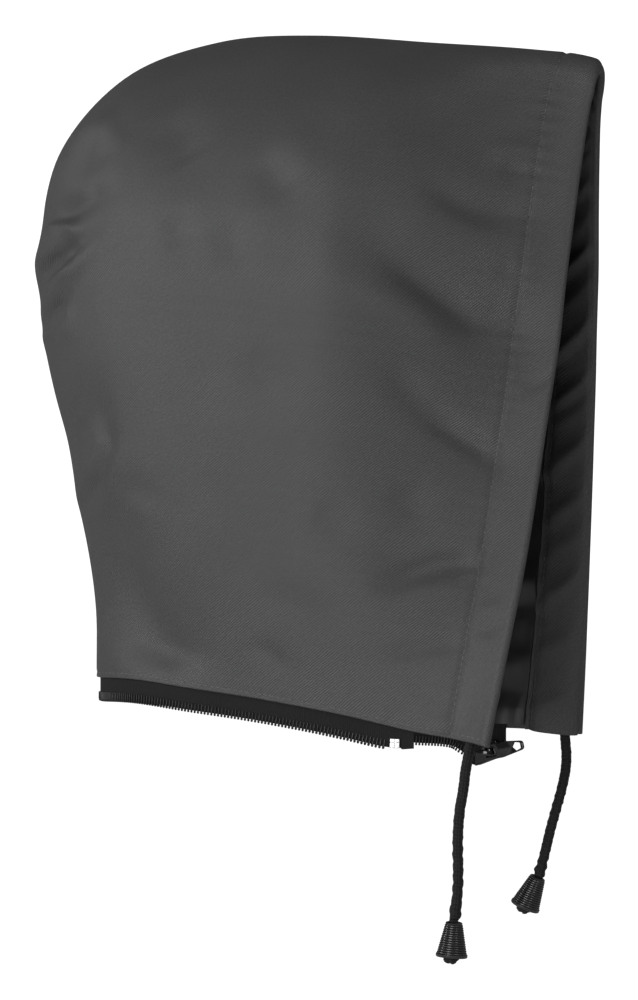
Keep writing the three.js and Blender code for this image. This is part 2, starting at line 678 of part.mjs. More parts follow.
function extruded(shape, depth) {
  const geometry = new THREE.ExtrudeGeometry(shape, { depth, bevelEnabled: false });
  return geometry.translate(0, 0, -depth / 2);
}

function shapeOf(points) {
  return new THREE.Shape(points.map(([x, y]) => new THREE.Vector2(x, y)));
}

function sliderGeometry() {
  const top = LIP_Y + SLIDER_LIP;
  const web = -RUNNING_GAP - SLIDER_WEB;
  const cut = SLIDER_HALF - SLIDER_CHAMFER;
  const channel = shapeOf([
    [-SLIDER_HALF, top - SLIDER_CHAMFER], [-SLIDER_HALF, SLIDER_CHAMFER - top], [-cut, -top],
    [-LIP_HALF, -top], [-LIP_HALF, -LIP_Y], [-CHANNEL_HALF, -LIP_Y], [-CHANNEL_HALF, web],
    [CHANNEL_HALF, web], [CHANNEL_HALF, -LIP_Y], [LIP_HALF, -LIP_Y], [LIP_HALF, -top],
    [cut, -top], [SLIDER_HALF, SLIDER_CHAMFER - top], [SLIDER_HALF, top - SLIDER_CHAMFER], [cut, top],
    [LIP_HALF, top], [LIP_HALF, LIP_Y], [CHANNEL_HALF, LIP_Y], [CHANNEL_HALF, -RUNNING_GAP],
    [-CHANNEL_HALF, -RUNNING_GAP], [-CHANNEL_HALF, LIP_Y], [-LIP_HALF, LIP_Y], [-LIP_HALF, top],
    [-cut, top],
  ]);
  const body = extruded(channel, SLIDER_LENGTH).rotateY(Math.PI / 2);
  const rear = BRIDGE_FRONT - BRIDGE_LENGTH;
  const legFront = BRIDGE_FRONT - BRIDGE_BAR;
  const legRear = rear + BRIDGE_BAR;
  const base = SLIDER_HALF - BRIDGE_ROOT;
  const under = SLIDER_HALF + BRIDGE_HEIGHT;
  const over = under + BRIDGE_BAR;
  const bridge = shapeOf([
    [rear - BRIDGE_SLOPE, base], [rear, over], [BRIDGE_FRONT - BRIDGE_SLOPE, over], [BRIDGE_FRONT, base],
    [legFront, base], [legFront - BRIDGE_FILLET, under], [legRear, under], [legRear, base],
  ]);
  const arch = extruded(bridge, BRIDGE_WIDTH).rotateX(Math.PI / 2);
  return geometryOf(solidOf(body).add(solidOf(arch)));
}

// Pull: the bar under the bridge is its hinge, at the local origin.
function pullGeometry() {
  const rear = -PULL_THICKNESS / 2;
  const root = PULL_ROOT_WIDTH / 2;
  const tip = PULL_TIP_WIDTH / 2;
  const shoulder = PULL_LENGTH * PULL_SHOULDER;
  const shape = shapeOf([
    [rear, -root + PULL_CHAMFER], [rear + PULL_CHAMFER, -root], [shoulder, -root],
    [PULL_LENGTH - PULL_TIP_CORNER, -tip], [PULL_LENGTH, -tip + PULL_TIP_CORNER],
    [PULL_LENGTH, tip - PULL_TIP_CORNER], [PULL_LENGTH - PULL_TIP_CORNER, tip],
    [shoulder, root], [rear + PULL_CHAMFER, root], [rear, root - PULL_CHAMFER],
  ]);
  const window = new THREE.Path();
  const armY = root - PULL_ARM;
  const windowFront = PULL_THICKNESS / 2 + PULL_WINDOW;
  window.moveTo(PULL_THICKNESS / 2, -armY);
  window.lineTo(PULL_THICKNESS / 2, armY);
  window.lineTo(windowFront, armY);
  window.lineTo(windowFront, -armY);
  window.closePath();
  const hole = new THREE.Path();
  const holeX = PULL_LENGTH - PULL_RIM - PULL_HOLE * Math.cos(Math.PI / PULL_HOLE_SIDES);
  for (let i = 0; i < PULL_HOLE_SIDES; i += 1) {
    const turn = (i * 2 * Math.PI) / PULL_HOLE_SIDES;
    const x = holeX - PULL_HOLE * Math.cos(turn);
    const y = PULL_HOLE * PULL_HOLE_ASPECT * Math.sin(turn);
    if (i === 0) hole.moveTo(x, y);
    else hole.lineTo(x, y);
  }
  hole.closePath();
  shape.holes.push(window, hole);
  return extruded(shape, PULL_THICKNESS);
}

function addSlider() {
  const front = ZIP[ZIP.length - 1];
  const rear = ZIP[ZIP.length - 2];
  const tipsFront = below(front, front.drop);
  const tipsRear = below(rear, rear.drop);
  const forward = tipsFront.clone().sub(tipsRear).normalize();
  const outward = front.outward.clone().add(rear.outward);
  outward.addScaledVector(forward, -outward.dot(forward)).normalize();
  const inward = outward.clone().negate();
  const up = inward.clone().cross(forward);
  const frame = new THREE.Group();
  frame.quaternion.setFromRotationMatrix(new THREE.Matrix4().makeBasis(forward, up, inward));
  frame.position.copy(tipsFront).addScaledVector(forward, -(SLIDER_SETBACK + SLIDER_LENGTH / 2));
  addPiece("zip_slider", sliderGeometry(), BLACK_ENAMEL, frame);
  const hinge = new THREE.Group();
  hinge.position.set(BAR_X, 0, SLIDER_HALF + BAR_HEIGHT);
  addPiece("zip_pull", pullGeometry(), BLACK_ENAMEL, hinge);
  frame.add(hinge);
  hood.add(frame);
}

// Drawcord ends

function addCordEnd(sideName, route) {
  const points = route.map(([x, y, z]) => new THREE.Vector3(x, y, z));
  const curve = new THREE.CatmullRomCurve3(points);
  const radius = CORD_DIAMETER / 2;
  const section = new THREE.Shape();
  for (let i = 0; i < CORD_SIDES; i += 1) {
    const turn = (2 * Math.PI * i) / CORD_SIDES;
    if (i === 0) section.moveTo(radius, 0);
    else section.lineTo(radius * Math.cos(turn), radius * Math.sin(turn));
  }
  section.closePath();
  const steps = Math.round(curve.getLength() / CORD_STEP);
  const tube = new THREE.ExtrudeGeometry(section, { steps, extrudePath: curve, bevelEnabled: false });
  addPiece(`cord_${sideName}`, tube, CORD_YARN);

  const end = points[points.length - 1];
  const down = curve.getTangentAt(1);
  const frame = new THREE.Group();
  frame.quaternion.setFromUnitVectors(new THREE.Vector3(0, -1, 0), down);
  frame.position.copy(end).addScaledVector(down, -(KNOT_DEPTH - CLOTH_GAP));
  const bore = radius + BELL_BORE_GAP;
  const bell = new THREE.LatheGeometry(
    [
      new THREE.Vector2(bore, 0),
      new THREE.Vector2(bore, -BELL_COLLAR),
      new THREE.Vector2(BELL_RIM_RADIUS - 2 * BELL_WALL, -BELL_COLLAR - BELL_SHOULDER),
      new THREE.Vector2(BELL_RIM_RADIUS - BELL_WALL, -BELL_LENGTH),
      new THREE.Vector2(BELL_RIM_RADIUS, -BELL_LENGTH),
      new THREE.Vector2(BELL_RIM_RADIUS, -BELL_LENGTH + BELL_RIM_BAND),
      new THREE.Vector2(BELL_TOP_RADIUS, -BELL_EDGE),
      new THREE.Vector2(BELL_TOP_RADIUS - BELL_EDGE, 0),
      new THREE.Vector2(bore, 0),
    ],
    BELL_SIDES,
  );
  addPiece(`bell_${sideName}`, bell, BLACK_PLASTIC, frame);
  const profile = [];
  for (let i = 0; i <= KNOT_RINGS; i += 1) {
    const turn = (Math.PI * i) / KNOT_RINGS;
    const ringRadius = i === 0 || i === KNOT_RINGS ? 0 : KNOT_RADIUS * Math.sin(turn);
    const ringHeight = -KNOT_DEPTH - (KNOT_LENGTH / 2) * (1 + Math.cos(turn));
    profile.push(new THREE.Vector2(ringRadius, ringHeight));
  }
  addPiece(`knot_${sideName}`, new THREE.LatheGeometry(profile, KNOT_SIDES), CORD_YARN, frame);
  hood.add(frame);
}

addPiece("panel_right", panelGeometry(RIGHT), TWILL);
addPiece("panel_left", panelGeometry(LEFT), TWILL);
addPiece("lining_right", liningGeometry(RIGHT), SATIN);
addPiece("lining_left", liningGeometry(LEFT), SATIN);
addZip();
addTopStop();
addSlider();
addCordEnd("right", CORD_ROUTE_RIGHT);
addCordEnd("left", CORD_ROUTE_LEFT);

export default hood;
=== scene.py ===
import json
import math

import bpy
import numpy as np
from mathutils import Matrix, Vector


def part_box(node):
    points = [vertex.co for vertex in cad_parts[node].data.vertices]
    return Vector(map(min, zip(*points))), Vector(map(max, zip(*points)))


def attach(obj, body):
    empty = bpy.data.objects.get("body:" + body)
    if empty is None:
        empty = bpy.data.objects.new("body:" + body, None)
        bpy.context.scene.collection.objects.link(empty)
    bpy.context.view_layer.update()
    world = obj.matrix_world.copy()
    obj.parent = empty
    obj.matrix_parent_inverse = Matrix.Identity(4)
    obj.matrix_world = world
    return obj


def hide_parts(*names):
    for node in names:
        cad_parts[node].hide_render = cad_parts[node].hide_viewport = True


bl_info = {
    "name": "Detachable Hood",
    "version": (1, 0, 0),
    "blender": (4, 5, 0),
    "location": "3D Viewport > Sidebar > Hood",
    "description": "Dresses a lined twill hood with its drawcord, bell ends and neck zip",
    "category": "Object",
}

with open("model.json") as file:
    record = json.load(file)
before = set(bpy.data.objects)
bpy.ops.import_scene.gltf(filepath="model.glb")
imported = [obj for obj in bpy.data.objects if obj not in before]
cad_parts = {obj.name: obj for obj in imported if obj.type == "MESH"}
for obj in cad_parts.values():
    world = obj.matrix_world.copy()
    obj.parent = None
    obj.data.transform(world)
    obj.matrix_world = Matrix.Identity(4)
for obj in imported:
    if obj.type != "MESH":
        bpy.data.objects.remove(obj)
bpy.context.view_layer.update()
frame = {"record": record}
JOINT = frame["record"]["behaviour"]["joints"][0]
FACE_MOUNT = next(m for m in frame["record"]["mounts"] if m["name"] == "slider_face")

TURN = 2 * math.pi
SAME = 1e-5  # lengths this close count as the same
MM = 0.001
RIPPLE_WEIGHTS = (1, 0.7, 0.5)
RIGHT, LEFT = -1, 1
SIDE_NAMES = {RIGHT: "right", LEFT: "left"}

# Form of the hood, in metres
HOOD_HEIGHT = 0.3357
HOOD_DEPTH = 0.281
HEAD_WIDTH = 0.174
FACE_WIDTH = 0.1252
FACE_FLARE = 0.0134
ARCH_RISE = 0.010
FACE_BLEND = 0.105
LEFT_DROOP = 0.0128
SWELL_EASE = 0.75
BLEND_SOFTNESS = 0.35
FLARE_CURVE = 1.3
CROWN_CORNER = 0.46
SEAM_ROUNDNESS = 2.15
FOLD_RISE = 0.005
FOLD_BREADTH = 0.015
SEAM_HOLD = 0.2
PROBE = 1e-3
CORNER_REACH = 0.026  # round the crown's corner the directions come from the seam
CORNER_BLEND = 0.012

# Layers of the cloth
WALL = 0.0012
LINING = 0.0010
CLOTH_GAP = 0.0003
SEAM_GAP = 0.0003
SHELL = 0.0025
CASING = 0.022
FACING_END = 0.024
LINING_FRONT = 0.0243
EDGE_GAP = 0.002
SEWN_GAP = 0.0004
FOLD_RADIUS = WALL + EDGE_GAP / 2
PUFF = 0.0052
PUFF_HEIGHT = 0.060
PUFF_ABOVE = 0.3
PUFF_FULLNESS = 0.4
CASING_CLOSE = 0.17
LINING_HEM = 0.0025
LOW_SEAM_SHIFT = 0.0012  # the layers below the outer one meet this far beside its seam
LOW_SEAM_FROM = 0.0003
RELIEF_ROOM = 0.0003

# Zip
TAPE = 0.001
TAPE_DEPTH = WALL + CLOTH_GAP + TAPE / 2
TAPE_RISE = 0.009
ZIP_DROP = 0.0112
COIL_HEIGHT = 0.0042
COIL_THICKNESS = 0.0024
ZIP_INSETS = {RIGHT: 0.038, LEFT: 0.034}
SLIDER_RUN = 0.020
END_TAB = 0.012
STOP_LIFT = 0.0018
TOOTH_PITCH = 0.0017
TOOTH_WIRE = 0.00038
ZIP_STATIONS = 900
TAPE_ROW = 0.0011
STOP_SEARCH = 0.0005

# Outline tables, as shares of the hood's depth (forward) and height (up)
FRONT_EDGE = np.array([  # at, forward, up, half, flare
    (0, 0.3843, 0, 1, 1), (0.147, 0.4082, 0.1376, 0.88, 0.63), (0.285, 0.4288, 0.2678, 0.74, 0.41),
    (0.432, 0.4459, 0.4057, 0.61, 0.31), (0.58, 0.4626, 0.5445, 0.489, 0.15),
    (0.735, 0.4762, 0.6899, 0.374, 0), (0.873, 0.4879, 0.8195, 0.23, 0),
    (0.952, 0.4968, 0.8937, 0.153, 0), (1, 0.5089, 0.9383, 0.128, 0),
])
CENTRE_SEAM = np.array([  # forward, up
    (0.5089, 0.9383), (0.4947, 0.9562), (0.3922, 0.9708), (0.2142, 0.9845), (0, 1), (-0.1669, 0.9952),
    (-0.3335, 0.95), (-0.4552, 0.8427), (-0.4964, 0.6991), (-0.4829, 0.5716), (-0.4409, 0.4203),
    (-0.4096, 0.3006), (-0.3879, 0.1844), (-0.3858, 0.0825),
])
NECK_HEM = np.array([  # forward, up
    (0.3843, 0), (0.2559, 0.0158), (0.1278, 0.0393), (-0.0007, 0.0581), (-0.1288, 0.0724),
    (-0.2573, 0.084), (-0.3858, 0.0825),
])
HEAD_SHAPE = np.array([  # up, half, rounding
    (0, 0.828, 0.278), (0.1, 0.862, 0.29), (0.247, 0.931, 0.315), (0.426, 0.989, 0.34), (0.575, 1, 0.36),
    (0.724, 0.966, 0.374), (0.873, 0.897, 0.374), (1, 0.851, 0.374),
])
ZIP_DROPS = {  # run from the zip's end, drop
    RIGHT: np.array([(0, 0.70), (0.5, 0.93), (1, 1), (2.6, 1)]),
    LEFT: np.array([(0, 0.87), (1, 1.32), (1.5, 1), (2.6, 1)]),
}

BOTH = (RIGHT, LEFT)
FOLDS = [  # sides, forward, up, to forward, to up, rise, breadth
    (BOTH, 0.2, 0.69, 0.39, 0.565, -0.6, 1), (BOTH, 0.26, 0.75, 0.41, 0.66, 0.3, 1.1),
    (BOTH, 0.29, 0.445, 0.37, 0.39, -0.3, 0.6), (BOTH, 0.22, 0.26, 0.35, 0.225, -0.2, 0.8),
    (BOTH, -0.49, 0.73, -0.4, 0.745, -0.6, 0.75), (BOTH, -0.48, 0.665, -0.36, 0.71, 0.4, 0.6),
    (BOTH, -0.48, 0.625, -0.41, 0.655, -0.5, 0.5), (BOTH, -0.47, 0.575, -0.4, 0.62, 0.4, 0.45),
    (BOTH, -0.44, 0.78, -0.3, 0.835, -0.3, 0.8), (BOTH, -0.41, 0.42, -0.32, 0.47, -0.5, 1),
    (BOTH, -0.38, 0.335, -0.29, 0.4, 0.35, 0.6), ((LEFT,), 0.3, 0.84, 0.44, 0.9, 0.4, 0.6),
]

CREASES = [  # rise in mm, breadth in mm, and the line's places as forward and up shares
    (1.6, 3.5, [(-0.488, 0.722), (-0.385, 0.727), (-0.333, 0.716)]),
    (-4.2, 5.5, [(-0.5, 0.64), (-0.389, 0.678), (-0.333, 0.703)]),
    (2.6, 5.0, [(-0.5, 0.62), (-0.341, 0.665), (-0.301, 0.7)]),
    (-4.0, 4.5, [(-0.5, 0.57), (-0.42, 0.602), (-0.369, 0.622)]),
    (1.4, 4.0, [(-0.4, 0.548), (-0.362, 0.582), (-0.354, 0.617)]),
    (1.2, 2.5, [(-0.42, 0.414), (-0.345, 0.46)]),
    (-3.2, 6.5, [(-0.41, 0.30), (-0.312, 0.361), (-0.28, 0.418), (-0.297, 0.456)]),
    (1.0, 4.5, [(-0.39, 0.309), (-0.292, 0.346), (-0.258, 0.403)]),
    (-2.4, 6.5, [(-0.43, 0.73), (-0.33, 0.757), (-0.285, 0.777)]),
    (0.9, 7.0, [(-0.422, 0.867), (-0.316, 0.868), (-0.271, 0.832), (-0.278, 0.789)]),
    (-0.9, 12, [(-0.185, 0.886), (-0.132, 0.806)]),
    (-0.9, 10, [(-0.013, 0.824), (0.048, 0.757)]),
    (0.6, 12, [(0.008, 0.853), (0.102, 0.796)]),
    (-0.8, 8, [(-0.153, 0.749), (-0.134, 0.686)]),
    (-0.8, 9, [(-0.062, 0.731), (-0.034, 0.666)]),
    (-0.9, 8, [(-0.014, 0.554), (0.026, 0.484)]),
    (-2.1, 6.0, [(0.18, 0.70), (0.296, 0.617), (0.339, 0.584), (0.387, 0.586)]),
    (0.9, 7.0, [(0.157, 0.646), (0.241, 0.602), (0.3, 0.546)]),
    (-1.5, 7.0, [(0.24, 0.78), (0.343, 0.736), (0.4, 0.73)]),
    (-0.9, 11, [(0.191, 0.823), (0.282, 0.878), (0.376, 0.935)]),
    (1.0, 5.0, [(0.335, 0.823), (0.411, 0.829)]),
    (-0.9, 5.0, [(0.36, 0.8), (0.406, 0.79)]),
    (-0.7, 3.5, [(0.364, 0.661), (0.392, 0.645)]),
    (-1.1, 7.0, [(0.20, 0.54), (0.285, 0.444)]),
    (-1.9, 4.2, [(0.26, 0.46), (0.335, 0.414), (0.368, 0.394)]),
    (-0.7, 8, [(0.225, 0.365), (0.261, 0.309)]),
    (-2.3, 5.5, [(0.17, 0.21), (0.288, 0.245), (0.353, 0.254)]),
    (0.7, 6.0, [(0.23, 0.209), (0.325, 0.222)]),
    (-1.2, 3.8, [(0.18, 0.12), (0.29, 0.135), (0.33, 0.14)]),
    (-0.8, 3.2, [(0.34, 0.157), (0.389, 0.16)]),
    (0.7, 4.0, [(0.344, 0.184), (0.393, 0.186)]),
    (-0.7, 2.8, [(0.349, 0.289), (0.382, 0.277)]),
    (-4.5, 20, [(-0.36, 0.36), (-0.24, 0.17), (-0.14, 0.06)]),
    (0.8, 3.5, [(-0.33, 0.192), (-0.34, 0.118)]),
    (-1.0, 4.5, [(-0.038, 0.139), (0.008, 0.124), (0.037, 0.101)]),
    (-0.8, 9, [(-0.037, 0.212), (0.128, 0.172)]),
    (-0.8, 9, [(0.09, 0.326), (0.154, 0.292)]),
    (-0.8, 6, [(-0.264, 0.363), (-0.181, 0.336)]),
    (-0.4, 1.6, [(-0.034, 0.299), (0.023, 0.292)]),
    (-0.8, 2.8, [(0.404, 0.483), (0.434, 0.5), (0.459, 0.51)]),
    (-0.6, 2.5, [(-0.4, 0.411), (-0.364, 0.48)]),
    (0.8, 6, [(0.224, 0.031), (0.31, 0.018)]),
]
LEFT_CREASE_SHIFT = (0.015, -0.025)  # the left panel's creases lie a little off the right's
LEFT_CREASE_SHARE = 0.55
BROAD_GAIN = 1.9  # for creases from this breadth in mm
BROAD_FROM = 7
NARROW_GAIN = 1.25
CREASE_RISE_IN = 0.45  # share of a crease's line over which it starts
CREASE_FALL_OUT = 0.2  # share over which it dies down
CREASE_END = 0.45  # what is left of it at its last point
CREASE_SEAM_HOLD = 0.05
CREASE_SEAM_REACH = 0.016
CREASE_HEM_HOLD = 0.1
CREASE_HEM_REACH = 0.018
RIDGE_GAIN = 2.4
FACING_RIDGES = [  # up share at the fold, height in mm, breadth in mm, fall across the facing
    (0.95, 0.5, 1.6, 0.1), (0.931, 0.7, 2.0, 0.5), (0.912, 0.6, 1.8, 0.2), (0.895, 0.5, 2.2, 0.7),
    (0.866, 0.6, 3.0, 0.6), (0.824, 1.1, 3.2, 0.55), (0.78, 0.6, 4.0, 0.8), (0.735, 1.5, 3.6, 0.9),
    (0.68, 0.7, 4.5, 0.9), (0.624, 1.4, 3.8, 1.0), (0.545, 1.2, 4.0, 0.9), (0.5, 0.5, 4.0, 0.7),
    (0.451, 0.9, 4.2, 0.9), (0.369, 0.8, 4.5, 0.8), (0.31, 0.4, 4.0, 0.7), (0.256, 0.9, 4.5, 0.9),
    (0.16, 0.6, 5.0, 0.6), (0.07, 0.8, 4.0, 0.5),
]

# Free ends of the drawcord: points of the route that part.mjs gives, in metres
CORD_ROUTES = {
    RIGHT: [
        (-0.0623, -0.0993, -0.3224), (-0.0632, -0.0986, -0.3274), (-0.0641, -0.098, -0.3325),
        (-0.0648, -0.097, -0.3385), (-0.065, -0.0957, -0.3455), (-0.065, -0.0946, -0.3541),
        (-0.065, -0.093, -0.363), (-0.065, -0.0921, -0.3725), (-0.065, -0.0919, -0.382),
        (-0.065, -0.0921, -0.391), (-0.065, -0.0919, -0.4), (-0.065, -0.0912, -0.407),
        (-0.065, -0.0902, -0.4151), (-0.065, -0.0894, -0.4248),
    ],
    LEFT: [
        (0.0651, -0.1039, -0.3233), (0.0661, -0.1032, -0.3283), (0.0672, -0.1026, -0.3334),
        (0.0682, -0.1026, -0.3385), (0.0689, -0.1028, -0.344), (0.069, -0.1023, -0.3514),
        (0.069, -0.1002, -0.3611), (0.069, -0.0974, -0.3708), (0.069, -0.0946, -0.3806),
        (0.069, -0.0922, -0.3903), (0.069, -0.09, -0.3985), (0.069, -0.0883, -0.4035),
        (0.069, -0.0843, -0.4123),
    ],
}
CORD_DIAMETER = 0.005
CORD_SIDES = 20
CORD_STEP = 0.0004
KNOT_TURNS = 2.5
KNOT_STRAND = 0.00195
KNOT_SPREAD = 0.0021
KNOT_STEPS, KNOT_SIDES = 160, 14
KNOT_DEPTH = 0.010
KNOT_LENGTH = 0.011
BELL_LENGTH = 0.0165
BELL_TOP_RADIUS = 0.0042
BELL_RIM_RADIUS = 0.0074
BELL_FOOT = 0.0016  # smooth band below the grooves
BORE_DEPTH = 0.0055
# Share of a groove's pitch, and depth
BELL_RIB = ((0, 0.00036), (0.16, 0.00014), (0.34, 0.00002), (0.6, 0), (0.84, 0.00014))


# Smooth curves and the surface of the cloth


def unit(vectors):
    return vectors / np.linalg.norm(vectors, axis=-1, keepdims=True)


def travelled(points, axis=0):
    """Length travelled from the first point along one axis of a grid."""
    steps = np.linalg.norm(np.diff(points, axis=axis), axis=-1)
    start = np.zeros_like(np.take(steps, [0], axis))
    return np.concatenate([start, np.cumsum(steps, axis)], axis)


def ease(x):
    x = np.clip(x, 0, 1)
    return x * x * (3 - 2 * x)


def look_up(keys, values, at):
    """A smooth curve through the values, which stays level outside the keys."""
    at = np.clip(np.asarray(at, float), keys[0], keys[-1])
    last = len(keys) - 1
    order = np.arange(last + 1)
    ahead, behind = np.minimum(order + 1, last), np.maximum(order - 1, 0)
    slopes = (values[ahead] - values[behind]) / (keys[ahead] - keys[behind])
    low = np.clip(np.searchsorted(keys, at, side="right") - 1, 0, last - 1)
    step = keys[low + 1] - keys[low]
    t = (at - keys[low]) / step
    return (
        (2 * t**3 - 3 * t**2 + 1) * values[low] + (t**3 - 2 * t**2 + t) * step * slopes[low]
        + (3 * t**2 - 2 * t**3) * values[low + 1] + (t**3 - t**2) * step * slopes[low + 1]
    )


def measured(outline_points):
    """Keys from 0 to 1 by length along an outline, and the outline in metres."""
    points = outline_points * (HOOD_DEPTH, HOOD_HEIGHT)
    keys = travelled(points)
    return keys / keys[-1], points


SEAM = measured(CENTRE_SEAM)
HEM = measured(NECK_HEM)
FRONT = FRONT_EDGE[:, 0], FRONT_EDGE[:, 1:3] * (HOOD_DEPTH, HOOD_HEIGHT)


def outline(curve, at):
    keys, points = curve
    return np.stack([look_up(keys, points[:, 0], at), look_up(keys, points[:, 1], at)], -1)


FRONT_HEM = outline(FRONT, 0.0)
FRONT_TOP = outline(FRONT, 1.0)
BACK_HEM = outline(SEAM, 1.0)
BACK_TOP = outline(SEAM, CROWN_CORNER)
PANEL_HEIGHT = float(np.linalg.norm(FRONT_HEM - FRONT_TOP))
SEAM_LINE = outline(SEAM, np.linspace(0, 1, 121))
HEM_LINE = outline(HEM, np.linspace(0, 1, 25))


def distance_to_line(points, line):
    """Shortest distance from each point of the side view to a line of short segments."""
    start, step = line[:-1], np.diff(line, axis=0)
    flat = points.reshape(-1, 2)
    squared = (step**2).sum(1)
    along = flat @ step.T - (start * step).sum(1)
    share = np.clip(along / squared, 0, 1)
    gap = (flat**2).sum(1)[:, None] - 2 * flat @ start.T + (start**2).sum(1)
    nearest = (gap - 2 * share * along + share**2 * squared).min(1)
    return np.sqrt(np.maximum(nearest, 0)).reshape(points.shape[:-1])


def side_place(across, rise):
    """Place on the side view of a share across the panel and a share up it."""
    a, r = across[..., None], rise[..., None]
    edges = (1 - a) * outline(FRONT, rise) + a * outline(SEAM, 1 - rise * (1 - CROWN_CORNER))
    edges += (1 - r) * outline(HEM, across) + r * outline(SEAM, across * CROWN_CORNER)
    corners = (1 - a) * (1 - r) * FRONT_HEM + (1 - a) * r * FRONT_TOP
    return edges - corners - a * (1 - r) * BACK_HEM - a * r * BACK_TOP


def plain_surface(across, rise, side):
    place = side_place(across, rise)
    behind = np.linalg.norm(place - outline(FRONT, rise), axis=-1)
    under = (1 - rise) * PANEL_HEIGHT
    arch = np.sqrt(1 - (1 - np.minimum(under / ARCH_RISE, 1)) ** 2)
    face = look_up(FRONT_EDGE[:, 0], FRONT_EDGE[:, 3], rise) * FACE_WIDTH * arch / 2
    flare = look_up(FRONT_EDGE[:, 0], FRONT_EDGE[:, 4], rise) * FACE_FLARE
    up = place[..., 1] / HOOD_HEIGHT
    reach = look_up(HEAD_SHAPE[:, 0], HEAD_SHAPE[:, 2], up) * HOOD_DEPTH
    inside = 1 - np.minimum(distance_to_line(place, SEAM_LINE) / reach, 1)
    rounded = (1 - inside**SEAM_ROUNDNESS) ** (1 / SEAM_ROUNDNESS)
    head = look_up(HEAD_SHAPE[:, 0], HEAD_SHAPE[:, 1], up) * HEAD_WIDTH * rounded / 2
    back = behind / FACE_BLEND
    turn_in = np.clip(back - 1 + BLEND_SOFTNESS, 0, 2 * BLEND_SOFTNESS)
    straight = np.minimum(back, 1 + BLEND_SOFTNESS) - turn_in**2 / (4 * BLEND_SOFTNESS)
    swell = SWELL_EASE * ease(back) + (1 - SWELL_EASE) * straight
    half = (1 - swell) * face + swell * head + flare * np.maximum(1 - behind / CASING, 0) ** FLARE_CURVE
    droop = LEFT_DROOP * np.sin(np.pi * across) ** 2 * (1 - rise) ** 2 if side == LEFT else 0
    up_place = place[..., 1] - HOOD_HEIGHT - droop + SHELL
    return np.stack([side * np.maximum(half, SEAM_GAP / 2), -place[..., 0], up_place], -1)


def on_seam(across, rise):
    return (across >= 1) | (rise >= 1)


def seam_direction(across, rise):
    """Direction out of the cloth on the centre seam, in the centre plane."""
    at = np.where(rise >= 1, across * CROWN_CORNER, 1 - rise * (1 - CROWN_CORNER))
    line = outline(SEAM, at + PROBE) - outline(SEAM, at - PROBE)
    return unit(np.stack([np.zeros_like(at), -line[..., 1], -line[..., 0]], -1))


def outward(surface, across, rise, side):
    """Outward direction of a surface, in the centre plane on the seam."""
    a = np.clip(across, PROBE, 1 - PROBE)
    r = np.clip(rise, PROBE, 1 - PROBE)
    along = surface(a + PROBE, r, side) - surface(a - PROBE, r, side)
    upward = surface(a, r + PROBE, side) - surface(a, r - PROBE, side)
    normal = unit(np.cross(along, upward) * side)
    return np.where(on_seam(across, rise)[..., None], seam_direction(across, rise), normal)


def fold_height(points, side):
    """Height of the large folds over the plain surface."""
    place = np.stack([-points[..., 1], points[..., 2] + HOOD_HEIGHT - SHELL], -1)
    height = np.zeros(place.shape[:-1])
    for sides, forward, up, to_forward, to_up, rise, breadth in FOLDS:
        if side in sides:
            line = np.array([(forward, up), (to_forward, to_up)]) * (HOOD_DEPTH, HOOD_HEIGHT)
            away = distance_to_line(place, line) / (breadth * FOLD_BREADTH)
            height += rise * FOLD_RISE * np.exp(-(away**2))
    hold = SEAM_HOLD + (1 - SEAM_HOLD) * ease(distance_to_line(place, SEAM_LINE) / FOLD_BREADTH)
    return height * hold


def folded_surface(across, rise, side):
    plain = plain_surface(across, rise, side)
    normal = outward(plain_surface, across, rise, side)
    return plain + normal * fold_height(plain, side)[..., None]


def cloth(across, rise, side):
    """Outer surface of the cloth and its outward direction."""
    return folded_surface(across, rise, side), outward(folded_surface, across, rise, side)


def cloth_grid(across, rise, side):
    """The same as cloth for a grid in even order, with directions worked out from the grid."""
    points = folded_surface(across, rise, side)
    normal = unit(np.cross(np.gradient(points, axis=1), np.gradient(points, axis=0)) * side)
    corner = np.array([0, -BACK_TOP[0], BACK_TOP[1] - HOOD_HEIGHT + SHELL])
    away = np.linalg.norm(points - corner, axis=-1)
    near = ease((CORNER_REACH - away) / CORNER_BLEND)[..., None]
    normal = unit(normal * (1 - near) + seam_direction(np.array(1.0), np.array(1.0)) * near)
    return points, np.where(on_seam(across, rise)[..., None], seam_direction(across, rise), normal)


def laid(surface, across, rise, side, depth):
    """Points at a depth below the outer surface. The lower layers meet beside the outer seam."""
    seam = SEAM_GAP / 2 - side * LOW_SEAM_SHIFT * ease((depth - WALL - RELIEF_ROOM) / LOW_SEAM_FROM)
    points = surface[0] - surface[1] * depth[..., None]
    off = np.where(on_seam(across, rise), seam, np.maximum(points[..., 0] * side, seam))
    points[..., 0] = side * off
    return points


def panel_length(rise):
    return np.linalg.norm(outline(FRONT, rise) - outline(SEAM, 1 - rise * (1 - CROWN_CORNER)), axis=-1)


# Meshes


def ripple(position, pitch, seed):
    """Uneven waves along a length, from -1 to 1."""
    rng = np.random.default_rng(seed)
    total = 0
    for weight in RIPPLE_WEIGHTS:
        share, phase = rng.uniform(0.7, 1.6), rng.uniform(0, TURN)
        total = total + weight * np.sin(TURN * position / pitch * share + phase)
    return total / sum(RIPPLE_WEIGHTS)


def grid_faces(rows, columns, start=0, turned=False):
    corner = (np.arange(rows - 1)[:, None] * columns + np.arange(columns - 1)).ravel() + start
    faces = np.stack([corner, corner + 1, corner + 1 + columns, corner + columns], -1)
    return faces[:, ::-1] if turned else faces


